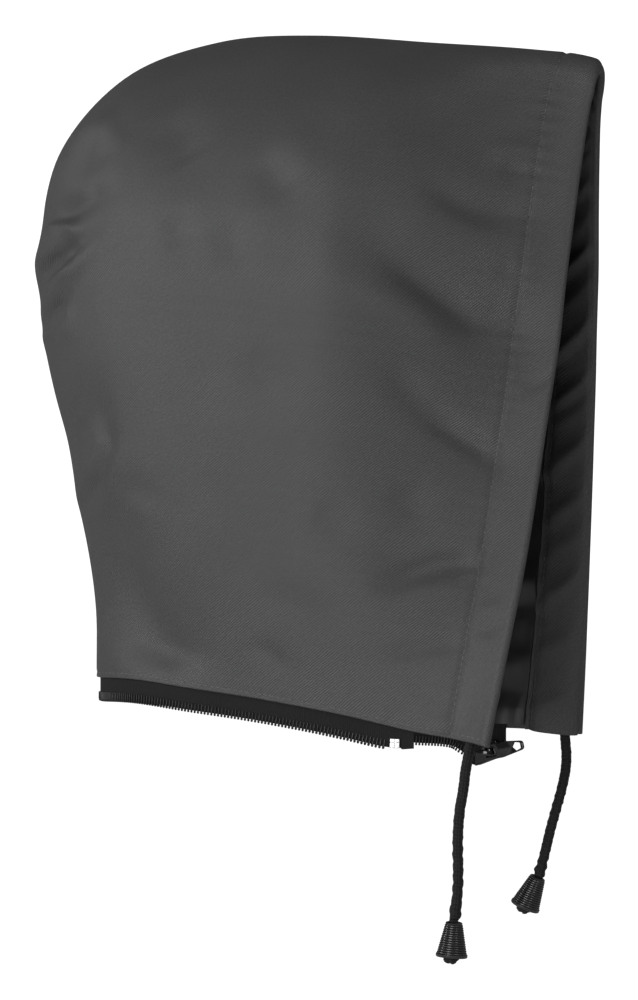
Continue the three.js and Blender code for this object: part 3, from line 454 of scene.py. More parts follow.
def mesh_piece(name, points, faces, uv=None):
    mesh = bpy.data.meshes.new(name)
    mesh.from_pydata(np.asarray(points).tolist(), [], [list(map(int, face)) for face in faces])
    if uv is not None:
        layer = mesh.uv_layers.new(name="cut")
        corners = np.zeros(len(mesh.loops), int)
        mesh.loops.foreach_get("vertex_index", corners)
        layer.data.foreach_set("uv", np.asarray(uv)[corners].ravel())
    mesh.validate()
    piece = bpy.data.objects.new(name, mesh)
    bpy.context.collection.objects.link(piece)
    return piece


def leave():
    bpy.ops.object.mode_set(mode="OBJECT")


def pick_none():
    if bpy.context.mode != "OBJECT":
        leave()
    bpy.ops.object.select_all(action="DESELECT")


def pick(piece):
    """Leaves one piece active and selected."""
    pick_none()
    piece.select_set(True)
    bpy.context.view_layer.objects.active = piece


def smooth(piece, degrees):
    pick(piece)
    bpy.ops.object.shade_smooth_by_angle(angle=math.radians(degrees))
    return piece


def closed_sheet(name, skin, back, uv):
    """A sheet with two skins and four rims from grids of points, with its faces outwards."""
    rows, columns = skin.shape[:2]
    points = np.concatenate([skin.reshape(-1, 3), back.reshape(-1, 3)])
    layer = rows * columns
    index = np.arange(layer).reshape(rows, columns)
    faces = [grid_faces(rows, columns), grid_faces(rows, columns, layer, True)]
    for edge in (index[0, ::-1], index[-1], index[:, 0], index[::-1, -1]):
        faces.append(np.stack([edge[:-1], edge[:-1] + layer, edge[1:] + layer, edge[1:]], -1))
    faces = np.concatenate(faces)
    a, b, c, d = (points[faces[:, corner]] for corner in range(4))
    volume = np.einsum("ij,ij->", a, np.cross(b - a, c - a) + np.cross(c - a, d - a))
    if volume < 0:
        faces = faces[:, ::-1]
    flat = np.concatenate([uv.reshape(-1, 2)] * 2)
    return smooth(mesh_piece(name, points, faces, flat), 50)


def tube_piece(name, path, radii, angle=60):
    """A closed tube round a path. radii has a row for each point and a column for each side.

    The cut map's x runs once round the tube, and its y along it in metres.
    """
    count, sides = len(path), radii.shape[1]
    tangents = unit(np.gradient(path, axis=0))
    reference = np.array([1.0, 0, 0]) if abs(tangents[0, 0]) < 0.8 else np.array([0, 1.0, 0])
    across = np.cross(tangents[0], reference)
    frames = []
    for tangent in tangents:
        across = unit(across - tangent * (across @ tangent))
        frames.append((across, np.cross(tangent, across)))
    frames = np.array(frames)[:, :, None]
    turn = np.linspace(0, TURN, sides, endpoint=False)[None, :, None]
    ring = frames[:, 0] * np.cos(turn) + frames[:, 1] * np.sin(turn)
    points = path[:, None] + ring * radii[..., None]
    index = np.arange(count * sides).reshape(count, sides)
    after = np.roll(index, -1, axis=1)
    faces = np.stack([index[:-1], after[:-1], after[1:], index[1:]], -1).reshape(-1, 4).tolist()
    faces += [[count * sides, b, a] for a, b in zip(index[0], after[0])]
    faces += [[count * sides + 1, a, b] for a, b in zip(index[-1], after[-1])]
    lengths = travelled(path)
    uv = np.stack([np.tile(np.arange(sides) / sides, count), np.repeat(lengths, sides)], -1)
    uv = np.concatenate([uv, [(0, 0), (0, lengths[-1])]])
    points = np.concatenate([points.reshape(-1, 3), path[[0, -1]]])
    return smooth(mesh_piece(name, points, faces, uv), angle)


def smooth_path(route, step):
    """Points at even steps on a smooth curve through a route."""
    points = np.array(route)
    lengths = travelled(points)
    dense = np.linspace(0, lengths[-1], int(lengths[-1] / step) + 1)
    return np.stack([look_up(lengths, points[:, k], dense) for k in range(3)], -1)


def finish_piece(piece, nodes, material, body="hood"):
    piece.data.materials.clear()
    piece.data.materials.append(material)
    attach(piece, body)
    if nodes:
        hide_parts(*nodes)


def edit(piece):
    pick(piece)
    bpy.ops.object.mode_set(mode="EDIT")
    bpy.ops.mesh.select_all(action="DESELECT")


def outward_faces():
    """Turns every face outwards and leaves edit mode."""
    bpy.ops.mesh.select_all(action="SELECT")
    bpy.ops.mesh.normals_make_consistent(inside=False)
    leave()


def choose(piece, kind, test):
    """Selects the vertices or edges whose middle passes a test, in edit mode."""
    leave()
    mesh = piece.data
    for part in (mesh.vertices, mesh.edges, mesh.polygons):
        part.foreach_set("select", [False] * len(part))
    for item in getattr(mesh, kind):
        ends = [item.index] if kind == "vertices" else item.vertices
        middle = sum((mesh.vertices[end].co for end in ends), Vector()) / len(ends)
        item.select = test(middle)
    bpy.ops.object.mode_set(mode="EDIT")
    bpy.ops.mesh.select_mode(type={"vertices": "VERT", "edges": "EDGE"}[kind])


def place_mesh(piece, matrix):
    """Moves a piece's mesh to its place, and leaves the object at the origin."""
    piece.data.transform(matrix)
    piece.matrix_world = Matrix.Identity(4)
    piece.data.update()


def bevelled(piece, width, segments, angle):
    pick(piece)
    bevel = piece.modifiers.new("round", "BEVEL")
    bevel.width = width
    bevel.segments = segments
    bevel.limit_method = "ANGLE"
    bevel.angle_limit = math.radians(angle)
    bpy.ops.object.modifier_apply(modifier=bevel.name)
    return piece


def copies(name, model, placements):
    """One mesh of many copies of a small model, each placed by a 3 x 4 matrix."""
    base = np.array([v.co for v in model.data.vertices])
    polygons = [list(p.vertices) for p in model.data.polygons]
    points = [base @ place[:, :3].T + place[:, 3] for place in placements]
    starts = range(0, len(base) * len(placements), len(base))
    faces = [[v + start for v in polygon] for start in starts for polygon in polygons]
    return mesh_piece(name, np.concatenate(points), faces)


def aim(item, target):
    """Turns a camera or a light towards a place."""
    direction = Vector(target) - item.location
    item.rotation_euler = direction.to_track_quat("-Z", "Y").to_euler()


def drop_model(model):
    mesh = model.data
    bpy.data.objects.remove(model)
    bpy.data.meshes.remove(mesh)


# Materials


class Wiring:
    """Adds nodes to a tree and joins them."""

    def __init__(self, tree):
        self.tree = tree

    def node(self, kind, **inputs):
        node = self.tree.nodes.new(kind)
        for name, value in inputs.items():
            setattr(node, name, value)
        return node

    def feed(self, socket, value):
        if isinstance(value, bpy.types.NodeSocket):
            self.tree.links.new(value, socket)
        else:
            socket.default_value = value

    def math(self, operation, a, b=0.0):
        node = self.node("ShaderNodeMath", operation=operation)
        for socket, value in zip(node.inputs, (a, b)):
            self.feed(socket, value)
        return node.outputs[0]

    def product(self, a, b):
        return self.math("MULTIPLY", a, b)

    def total(self, a, b):
        return self.math("ADD", a, b)

    def split(self, vector):
        """The first two numbers of a vector."""
        node = self.node("ShaderNodeSeparateXYZ")
        self.feed(node.inputs[0], vector)
        return node.outputs[0], node.outputs[1]

    def wave(self, value):
        """Sine of a number of turns."""
        return self.math("SINE", self.product(value, TURN))

    def share(self, wave):
        """A number from -1 to 1 as one from 0 to 1."""
        return self.total(self.product(wave, 0.5), 0.5)

    def noise(self, vector, scale, detail=2.0, roughness=0.5):
        node = self.node("ShaderNodeTexNoise")
        self.feed(node.inputs["Vector"], vector)
        self.feed(node.inputs["Scale"], scale)
        self.feed(node.inputs["Detail"], detail)
        self.feed(node.inputs["Roughness"], roughness)
        return node.outputs["Fac"]

    def range(self, value, low, high, to_low, to_high):
        node = self.node("ShaderNodeMapRange")
        for socket, given in zip(node.inputs[:5], (value, low, high, to_low, to_high)):
            self.feed(socket, given)
        return node.outputs[0]

    def tint(self, colour, factor):
        """A colour times a factor that changes over the surface."""
        node = self.node("ShaderNodeVectorMath", operation="SCALE")
        node.inputs[0].default_value = colour[:3]
        self.feed(node.inputs["Scale"], factor)
        return node.outputs[0]

    def bump(self, height, distance, strength):
        node = self.node("ShaderNodeBump")
        self.feed(node.inputs["Height"], height)
        node.inputs["Distance"].default_value = distance
        node.inputs["Strength"].default_value = strength
        return node.outputs[0]


def group(name, inputs, build):
    """A node group with the named number or vector inputs, made once."""
    if name in bpy.data.node_groups:
        return bpy.data.node_groups[name]
    tree = bpy.data.node_groups.new(name, "ShaderNodeTree")
    for label, kind, default in inputs:
        socket = tree.interface.new_socket(name=label, in_out="INPUT", socket_type=kind)
        if default is not None:
            socket.default_value = default
    wiring = Wiring(tree)
    start = wiring.node("NodeGroupInput")
    finals = build(wiring, start.outputs)
    for label in finals:
        tree.interface.new_socket(name=label, in_out="OUTPUT", socket_type="NodeSocketFloat")
    end = wiring.node("NodeGroupOutput")
    for label, value in finals.items():
        wiring.feed(end.inputs[label], value)
    return tree


VECTOR, NUMBER = "NodeSocketVector", "NodeSocketFloat"
THREAD_RATE = 1.35  # threads along a ridge for each pitch


def weave_group():
    """Diagonal ridges of a twill, each broken into threads. Place is in metres on the cut cloth."""

    def build(w, given):
        wander = w.noise(given["Place"], 90.0, 2.0)
        x, y = w.split(given["Place"])
        cross = w.math("SUBTRACT", w.product(y, given["Run"]), w.product(x, given["Rise"]))
        along = w.total(w.product(x, given["Run"]), w.product(y, given["Rise"]))
        line = w.total(w.math("DIVIDE", cross, given["Pitch"]), w.product(wander, given["Wander"]))
        ridge = w.wave(line)
        thread = w.math("SINE", w.product(w.math("DIVIDE", along, given["Pitch"]), TURN * THREAD_RATE))
        height = w.total(w.total(w.product(ridge, 0.38), w.product(thread, 0.12)), 0.5)
        return {"Height": height, "Ridge": w.share(ridge)}

    inputs = [("Place", VECTOR, None), ("Pitch", NUMBER, 0.001), ("Run", NUMBER, 0.69),
              ("Rise", NUMBER, 0.72), ("Wander", NUMBER, 0.5)]
    return group("Twill ridges", inputs, build)


def mottle_group():
    """Uneven tone: broad patches and fine specks, as a factor round 1."""

    def build(w, given):
        broad = w.range(w.noise(given["Place"], given["Broad"], 3.0), 0.3, 0.7, -1.0, 1.0)
        fine = w.range(w.noise(given["Place"], given["Fine"], 2.0, 0.6), 0.3, 0.7, -1.0, 1.0)
        patches = w.total(w.product(broad, given["Broad amount"]), w.product(fine, given["Fine amount"]))
        return {"Factor": w.total(patches, 1.0)}

    inputs = [("Place", VECTOR, None), ("Broad", NUMBER, 20.0), ("Fine", NUMBER, 900.0),
              ("Broad amount", NUMBER, 0.06), ("Fine amount", NUMBER, 0.08)]
    return group("Uneven tone", inputs, build)


def use_group(wiring, tree, **values):
    node = wiring.node("ShaderNodeGroup", node_tree=tree)
    for name, value in values.items():
        wiring.feed(node.inputs[name.replace("_", " ")], value)
    return node.outputs


def uneven_tone(w, place, broad, fine, broad_amount=0.06, fine_amount=0.08):
    """A factor round 1 with patches and specks of the given scales and amounts."""
    return use_group(w, mottle_group(), Place=place, Broad=broad, Fine=fine,
                     Broad_amount=broad_amount, Fine_amount=fine_amount)["Factor"]


def material(name, fixed, dress):
    """A material with fixed values on the shader and a function that wires what changes."""
    if name in bpy.data.materials:
        return bpy.data.materials[name]
    made = bpy.data.materials.new(name)
    made.use_nodes = True
    shader = made.node_tree.nodes["Principled BSDF"]
    for label, value in fixed.items():
        shader.inputs[label].default_value = value
    dress(Wiring(made.node_tree), shader)
    return made


def cut_place(w):
    return w.node("ShaderNodeUVMap", uv_map="cut").outputs[0]


def object_place(w):
    return w.node("ShaderNodeTexCoord").outputs["Object"]


def twill_material():
    cloth_look = bpy.context.scene.hood_cloth

    def dress(w, shader):
        place = cut_place(w)
        weave = use_group(w, weave_group(), Place=place, Pitch=cloth_look.twill_pitch)
        tone = uneven_tone(w, place, 26.0, 800.0, 0.06, 0.20)
        shade = w.range(weave["Height"], 0.0, 1.0, 0.68, 1.32)
        w.feed(shader.inputs["Base Color"], w.tint(cloth_look.twill_colour, w.product(shade, tone)))
        w.feed(shader.inputs["Roughness"], w.range(weave["Ridge"], 0.0, 1.0, 0.62, 0.48))
        w.feed(shader.inputs["Normal"], w.bump(weave["Height"], 0.00022, 0.7))

    return material("woven twill", {"Specular IOR Level": 0.5}, dress)


def satin_material():
    cloth_look = bpy.context.scene.hood_cloth

    def dress(w, shader):
        place = cut_place(w)
        tone = uneven_tone(w, place, 30.0, 1800.0, 0.10, 0.12)
        weave = use_group(w, weave_group(), Place=place, Pitch=0.0005, Run=0.95, Rise=0.31, Wander=1.0)
        w.feed(shader.inputs["Base Color"], w.tint(cloth_look.lining_colour, tone))
        w.feed(shader.inputs["Roughness"], w.range(weave["Height"], 0.0, 1.0, 0.36, 0.28))
        w.feed(shader.inputs["Normal"], w.bump(weave["Height"], 0.00003, 0.5))

    fixed = {"Specular IOR Level": 0.45, "Sheen Weight": 0.1, "Anisotropic": 0.3}
    return material("lining satin", fixed, dress)


TAPE_RIB, TAPE_PICK = 0.0011, 0.0006
BRAID_TURNS, BRAID_RUN = 5.0, 0.0034


def tape_material():
    def dress(w, shader):
        place = cut_place(w)
        x, y = w.split(place)
        ribs = w.math("SINE", w.product(x, TURN / TAPE_RIB))
        picks = w.math("SINE", w.product(y, TURN / TAPE_PICK))
        height = w.total(w.product(ribs, 0.7), w.product(picks, 0.3))
        shade = w.product(w.range(height, -1.0, 1.0, 0.75, 1.25), uneven_tone(w, place, 60.0, 1500.0))
        w.feed(shader.inputs["Base Color"], w.tint((0.008, 0.008, 0.0085), shade))
        w.feed(shader.inputs["Normal"], w.bump(height, 0.0001, 0.6))

    return material("zip tape", {"Roughness": 0.8, "Specular IOR Level": 0.3}, dress)


def braid_material():
    """Braided yarn: the place's x runs once round the cord, and its y along it in metres."""

    def dress(w, shader):
        x, y = w.split(cut_place(w))
        turn = w.product(x, BRAID_TURNS)
        run = w.math("DIVIDE", y, BRAID_RUN)
        height = w.share(w.product(w.wave(w.total(turn, run)), w.wave(w.math("SUBTRACT", turn, run))))
        tone = uneven_tone(w, object_place(w), 120.0, 1600.0, 0.08, 0.15)
        shade = w.product(w.range(height, 0.0, 1.0, 0.45, 1.55), tone)
        w.feed(shader.inputs["Base Color"], w.tint((0.0075, 0.0075, 0.008), shade))
        w.feed(shader.inputs["Normal"], w.bump(height, 0.0005, 0.9))

    fixed = {"Roughness": 0.7, "Specular IOR Level": 0.3, "Sheen Weight": 0.04}
    return material("braided cord", fixed, dress)


def thread_material():
    def dress(w, shader):
        tone = uneven_tone(w, object_place(w), 300.0, 2500.0, 0.15, 0.15)
        w.feed(shader.inputs["Base Color"], w.tint(bpy.context.scene.hood_cloth.thread_colour, tone))

    fixed = {"Roughness": 0.6, "Specular IOR Level": 0.4, "Sheen Weight": 0.1}
    return material("sewing thread", fixed, dress)


HARD_GRAIN = 350.0


def hard_material(name, colour, low, high, fixed, bump=0.00002):
    """A hard finish with uneven gloss and a faint surface."""

    def dress(w, shader):
        place = object_place(w)
        tone = uneven_tone(w, place, HARD_GRAIN * 0.3, HARD_GRAIN * 5, 0.10, 0.05)
        w.feed(shader.inputs["Base Color"], w.tint(colour, tone))
        gloss = w.noise(place, HARD_GRAIN, 3.0)
        w.feed(shader.inputs["Roughness"], w.range(gloss, 0.3, 0.7, low, high))
        w.feed(shader.inputs["Normal"], w.bump(gloss, bump, 0.5))

    return material(name, fixed, dress)


def nylon_material():
    return hard_material("zip nylon", (0.013, 0.013, 0.014), 0.28, 0.42, {"Specular IOR Level": 0.5})


def enamel_material():
    fixed = {"Specular IOR Level": 0.5}
    return hard_material("black enamel", (0.006, 0.006, 0.0065), 0.09, 0.14, fixed, 0.000004)


def bright_material():
    return hard_material("bright metal", (0.88, 0.88, 0.88), 0.22, 0.34, {"Metallic": 0.4}, 0.00001)


def plastic_material():
    fixed = {"Specular IOR Level": 0.9}
    return hard_material("bell plastic", (0.006, 0.006, 0.007), 0.24, 0.28, fixed, 0.000002)


# Settings that a user would change


class HoodCloth(bpy.types.PropertyGroup):
    twill_colour: bpy.props.FloatVectorProperty(
        name="Twill colour", description="Colour of the outer cloth", subtype="COLOR",
        default=(0.054, 0.054, 0.0555), min=0, max=1)
    lining_colour: bpy.props.FloatVectorProperty(
        name="Lining colour", description="Colour of the satin lining", subtype="COLOR",
        default=(0.012, 0.012, 0.013), min=0, max=1)
    thread_colour: bpy.props.FloatVectorProperty(
        name="Thread colour", description="Colour of the topstitching", subtype="COLOR",
        default=(0.105, 0.105, 0.107), min=0, max=1)
    twill_pitch: bpy.props.FloatProperty(
        name="Twill pitch", description="Distance from ridge to ridge of the twill",
        default=0.00102, min=0.0003, max=0.004, unit="LENGTH")
    stitch_pitch: bpy.props.FloatProperty(
        name="Stitch pitch", description="Distance from stitch to stitch",
        default=0.003, min=0.001, max=0.008, unit="LENGTH")
    pucker: bpy.props.FloatProperty(
        name="Pucker", description="Height of the puckers along the stitched lines",
        default=0.0005, min=0, max=0.002, unit="LENGTH")


class HoodTrim(bpy.types.PropertyGroup):
    tooth_pitch: bpy.props.FloatProperty(
        name="Tooth pitch", description="Distance from tooth to tooth of the coil",
        default=TOOTH_PITCH, min=0.001, max=0.003, unit="LENGTH")
    groove_count: bpy.props.IntProperty(
        name="Bell grooves", description="Number of ring grooves on each bell",
        default=13, min=4, max=20)


class HoodStudio(bpy.types.PropertyGroup):
    key_power: bpy.props.FloatProperty(
        name="Key power", description="Power of the large soft light on the camera's left",
        default=30.5, min=0, max=500, subtype="POWER")
    fill_power: bpy.props.FloatProperty(
        name="Fill power", description="Power of the soft light in front of the face opening",
        default=8.0, min=0, max=500, subtype="POWER")
    rim_power: bpy.props.FloatProperty(
        name="Rim power", description="Power of the light that grazes the back",
        default=17.0, min=0, max=500, subtype="POWER")
    surround: bpy.props.FloatProperty(
        name="Surround", description="Brightness of the white room round the hood",
        default=0.17, min=0, max=3)


# Pieces


CAMERA_PLACE = Vector((-2.3492, -0.8551, -0.2202))
CAMERA_LENS = 187.5
CAMERA_SENSOR = 36


class HOOD_OT_camera(bpy.types.Operator):
    """Places the camera at the photograph's angle"""

    bl_idname = "hood.camera"
    bl_label = "Camera"

    def execute(self, context):
        data = bpy.data.cameras.new("camera")
        data.sensor_fit = "VERTICAL"
        data.sensor_height = CAMERA_SENSOR
        data.lens = CAMERA_LENS
        data.clip_end = 100
        camera = bpy.data.objects.new("camera", data)
        context.collection.objects.link(camera)
        camera.location = CAMERA_PLACE
        aim(camera, (0, 0, CAMERA_PLACE.z))
        context.scene.camera = camera
        return {"FINISHED"}


def bell_frame(side):
    """Place and direction of a bell: its top's middle, with -Y down the cord."""
    path = smooth_path(CORD_ROUTES[side], 0.0005)
    down = path[-1] - path[-2]
    down /= np.linalg.norm(down)
    place = path[-1] - down * (KNOT_DEPTH - CLOTH_GAP)
    turn = Vector((0, -1, 0)).rotation_difference(Vector(down))
    return Matrix.Translation(Vector(place)) @ turn.to_matrix().to_4x4()


LUMP_LENGTH, LUMP_SPACING = 0.0051, 0.0070
STRAND_LENGTH, STRAND_RISE = 0.0048, 0.00010
CORD_RELIEF = 0.00008  # the braid lies this much inside the cord's measured size
CORD_WAISTS = ((0.00042, 0.0137, 0.0030), (-0.00045, 0.0100, 0.0016))  # swell, place from the end, breadth


def cord_radii(path, seed):
    """Radius of the braid round and along a cord, with larger lumps near the bell."""
    run = np.linspace(0, 1, len(path))[:, None]
    metres = run * 0.1
    turn = np.linspace(0, TURN, CORD_SIDES, endpoint=False)[None]
    lumps = 0.6 * np.sin(TURN * metres / LUMP_LENGTH + turn)
    lumps = lumps + ripple(metres + 0.0013 * np.cos(turn), LUMP_SPACING, seed)
    waver = lumps * (0.00005 + 0.00026 * run**2)
    to_end = (1 - run) * metres[-1]
    for swell, place, breadth in CORD_WAISTS:
        waver = waver + swell * np.exp(-(((to_end - place) / breadth) ** 2))
    strand = TURN * metres / STRAND_LENGTH
    strands = np.sin(4 * turn + strand) * np.sin(4 * turn - strand)
    return CORD_DIAMETER / 2 - CORD_RELIEF + waver + STRAND_RISE * strands


class HOOD_OT_cords(bpy.types.Operator):
    """Hangs the two free ends of the braided drawcord"""

    bl_idname = "hood.cords"
    bl_label = "Cords"

    def execute(self, context):
        for side, name in SIDE_NAMES.items():
            path = smooth_path(CORD_ROUTES[side], CORD_STEP)
            piece = tube_piece(f"drawcord_{name}", path, cord_radii(path, 3 + side))
            finish_piece(piece, [f"cord_{name}"], braid_material())
        return {"FINISHED"}


def rings_up(rings):
    """Extrudes the selected ring to each following radius and height."""
    for (radius, height), (to_radius, to_height) in zip(rings, rings[1:]):
        step = (0, 0, to_height - height)
        bpy.ops.mesh.extrude_region_move(TRANSFORM_OT_translate={"value": step})
        scale = to_radius / radius
        bpy.ops.transform.resize(value=(scale, scale, 1), center_override=(0, 0, to_height))


def bell_rings(grooves):
    """Radius and height of a bell's rings, from the bore over the outside and back in."""
    bore, top, rim, foot = CORD_DIAMETER / 2 + 0.0004, BELL_TOP_RADIUS, BELL_RIM_RADIUS, -BELL_LENGTH
    rings = [(bore, -BORE_DEPTH), (bore, -0.0008), (bore + 0.0003, -0.0003), (top - 0.0012, 0),
             (top - 0.0006, -0.0002), (top - 0.0002, -0.0007)]
    start, end = -0.0012, foot + BELL_FOOT
    slope = (rim - 0.0003 - top) / (end - start)
    pitch = (end - start) / grooves
    for i in range(grooves):
        for share, depth in BELL_RIB:
            height = start + (i + share) * pitch
            rings.append((top + slope * (height - start) - depth, height))
    rings += [(rim - 0.0002, end), (rim, end - 0.0002), (rim, foot + 0.0004), (rim - 0.0003, foot),
              (rim - 0.0009, foot), (rim - 0.0012, foot + 0.0004), (rim - 0.0022, -0.0100),
              (bore + 0.0006, -0.0060), (bore, -BORE_DEPTH)]
    return rings


class HOOD_OT_bells(bpy.types.Operator):
    """Turns the grooved bell on each cord end"""

    bl_idname = "hood.bells"
    bl_label = "Bells"

    def execute(self, context):
        rings = bell_rings(context.scene.hood_trim.groove_count)
        for side, name in SIDE_NAMES.items():
            pick_none()
            place = (0, 0, rings[0][1])
            bpy.ops.mesh.primitive_circle_add(vertices=40, radius=rings[0][0], location=place)
            bell = context.active_object
            bell.name = f"bell_end_{name}"
            bpy.ops.object.transform_apply(location=True)
            bpy.ops.object.mode_set(mode="EDIT")
            bpy.ops.mesh.select_all(action="SELECT")
            rings_up(rings)
            bpy.ops.mesh.select_all(action="SELECT")
            bpy.ops.mesh.remove_doubles(threshold=1e-6)
            outward_faces()
            smooth(bell, 42)
            place_mesh(bell, bell_frame(side) @ Matrix.Rotation(math.radians(-90), 4, "X"))
            finish_piece(bell, [f"bell_{name}"], plastic_material())
        return {"FINISHED"}


class HOOD_OT_knots(bpy.types.Operator):
    """Ties the knot inside each bell"""

    bl_idname = "hood.knots"
    bl_label = "Knots"

    def execute(self, context):
        for side, name in SIDE_NAMES.items():
            turns = np.linspace(0, 1, KNOT_STEPS)
            angle = turns * TURN * KNOT_TURNS
            spread = KNOT_SPREAD * np.sin(math.pi * np.clip(turns * 1.12, 0, 1)) ** 0.5
            height = 0.0008 * np.sin(angle * 0.5) - turns * (KNOT_LENGTH - 0.0040) - KNOT_DEPTH - 0.0022
            path = np.stack([spread * np.cos(angle), height, spread * np.sin(angle)], -1)
            turn = np.linspace(0, TURN, KNOT_SIDES, endpoint=False)[None]
            radii = KNOT_STRAND + 0.00008 * np.sin(3 * turn + angle[:, None] * 5)
            knot = tube_piece(f"stop_knot_{name}", path, radii)
            place_mesh(knot, bell_frame(side))
            finish_piece(knot, [f"knot_{name}"], braid_material())
            path = smooth_path(CORD_ROUTES[side], CORD_STEP)
            length = float(travelled(path)[-1])
        return {"FINISHED"}


BODY_COLUMNS = 132
STRIP_COLUMNS = 26
FACING_COLUMNS = 24
FOLD_STEPS = 8
CLOTH_ROWS = 196
LINING_STEPS = 110
LINING_EASE = 0.0005
TAPE_CLEAR, TAPE_STEP = 0.001, 0.004
PANEL_SEED, FACING_SEED, LINING_SEED, TAPE_SEED = 11, 31, 51, 81
STITCH_INSET = 0.0006
HEM_STITCH = 0.0024
STITCHED_FROM, STITCHED_TO = 0.0035, 0.004  # from the casing's lower and upper ends
HEM_STITCHED_FROM, HEM_STITCHED_TO = 0.0045, 0.001
GROOVE_DEPTH, GROOVE_BREADTH = 0.0008, 0.0010
HEM_GROOVE_DEPTH, HEM_GROOVE_BREADTH = 0.00030, 0.0009
PUCKER_REACH, PUCKER_LENGTH = 0.0055, 0.0105
HEM_PUCKER_REACH, HEM_PUCKER_LENGTH = 0.009, 0.013
HEM_ROWS = np.array([0, 0.00015, 0.00035, 0.0006])  # heights of the rows that round the hem's edge
RIGHT_RIDGE_SHIFT = 0.012  # the right facing's ridges lie a little higher than the left's


def cloth_rows():
    """Shares up the panel, closer together at the hem and at the crown."""
    share = np.linspace(0, 1, CLOTH_ROWS)
    rows = 1 - (1 - share**1.15) ** 1.6
    hem = HEM_ROWS / PANEL_HEIGHT
    return np.concatenate([hem, rows[rows > hem[-1] * 1.6]])


def casing_hollow(behind, rise):
    """Room between the outer cloth and the facing, open for the drawcord."""
    share = np.clip((behind - FOLD_RADIUS) / (CASING - FOLD_RADIUS), 0, 1)
    above = ease(rise * PANEL_HEIGHT / PUFF_HEIGHT)
    puff = PUFF * (1 - above * (1 - PUFF_ABOVE)) * ease((1 - rise) / CASING_CLOSE)
    flat = EDGE_GAP + (SEWN_GAP - EDGE_GAP) * share
    return flat + puff * np.maximum(np.sin(math.pi * share), 0) ** PUFF_FULLNESS


def stitch_relief(behind, up, seed):
    """Height of the groove and the puckers along the casing's stitching and the hem."""
    look = bpy.context.scene.hood_cloth
    off = behind - CASING + STITCH_INSET
    groove = -GROOVE_DEPTH * np.exp(-((off / GROOVE_BREADTH) ** 2))
    gather = look.pucker * np.exp(-np.abs(off) / PUCKER_REACH) * ripple(up, PUCKER_LENGTH, seed)
    hem = -HEM_GROOVE_DEPTH * np.exp(-(((up - HEM_STITCH) / HEM_GROOVE_BREADTH) ** 2))
    hem_gather = ripple(behind, HEM_PUCKER_LENGTH, seed + 7) * np.exp(-up / HEM_PUCKER_REACH)
    hem_gather = 0.5 * look.pucker * hem_gather
    return groove + gather + hem + hem_gather


def crease_height(place, side):
    """Height of the small folds over the cloth's large ones."""
    shift = np.array(LEFT_CREASE_SHIFT if side == LEFT else (0, 0))
    height = np.zeros(place.shape[:-1])
    for rise, breadth, line in CREASES:
        points = (np.array(line) + shift) * (HOOD_DEPTH, HOOD_HEIGHT)
        away = distance_to_line(place, points) / (breadth * MM)
        chord = points[-1] - points[0]
        share = np.clip((place - points[0]) @ chord / (chord @ chord), 0, 1)
        end = CREASE_END + (1 - CREASE_END) * ease((1 - share) / CREASE_FALL_OUT)
        fade = ease(share / CREASE_RISE_IN) * end
        gain = BROAD_GAIN if breadth >= BROAD_FROM else NARROW_GAIN
        height += gain * rise * MM * np.exp(-(away**2)) * fade
    near_seam = ease(distance_to_line(place, SEAM_LINE) / CREASE_SEAM_REACH)
    near_hem = ease(distance_to_line(place, HEM_LINE) / CREASE_HEM_REACH)
    hold = CREASE_SEAM_HOLD + (1 - CREASE_SEAM_HOLD) * near_seam
    hem = CREASE_HEM_HOLD + (1 - CREASE_HEM_HOLD) * near_hem
    return height * hold * hem * (LEFT_CREASE_SHARE if side == LEFT else 1)


def outer_relief(behind, across, rise, side):
    """Height of all the small forms on a panel's outer face."""
    stitched = stitch_relief(behind, rise * PANEL_HEIGHT, PANEL_SEED + side)
    return stitched + crease_height(side_place(across, rise), side)


def facing_height(behind, up, side):
    """Height of the slanting ridges on the turned-in facing, towards the face."""
    share = np.clip((behind - FOLD_RADIUS) / (CASING - FOLD_RADIUS), 0, 1)
    height = np.zeros(behind.shape)
    for at, rise, breadth, fall in FACING_RIDGES:
        shift = RIGHT_RIDGE_SHIFT if side == RIGHT else 0
        middle = (at + shift) * PANEL_HEIGHT - fall * behind
        away = (up - middle) / (breadth * MM)
        height += RIDGE_GAIN * rise * MM * np.exp(-(away**2))
    height *= np.sin(math.pi * np.clip(share * 0.92 + 0.04, 0, 1)) ** 0.7
    return height + 0.8 * stitch_relief(behind, up, FACING_SEED + side)


def rounded_edge(distance, radius):
    """How far a skin draws in near a cut edge, so that the edge is round."""
    near = np.clip(1 - distance / radius, 0, 1)
    return radius * (1 - np.sqrt(1 - near**2))


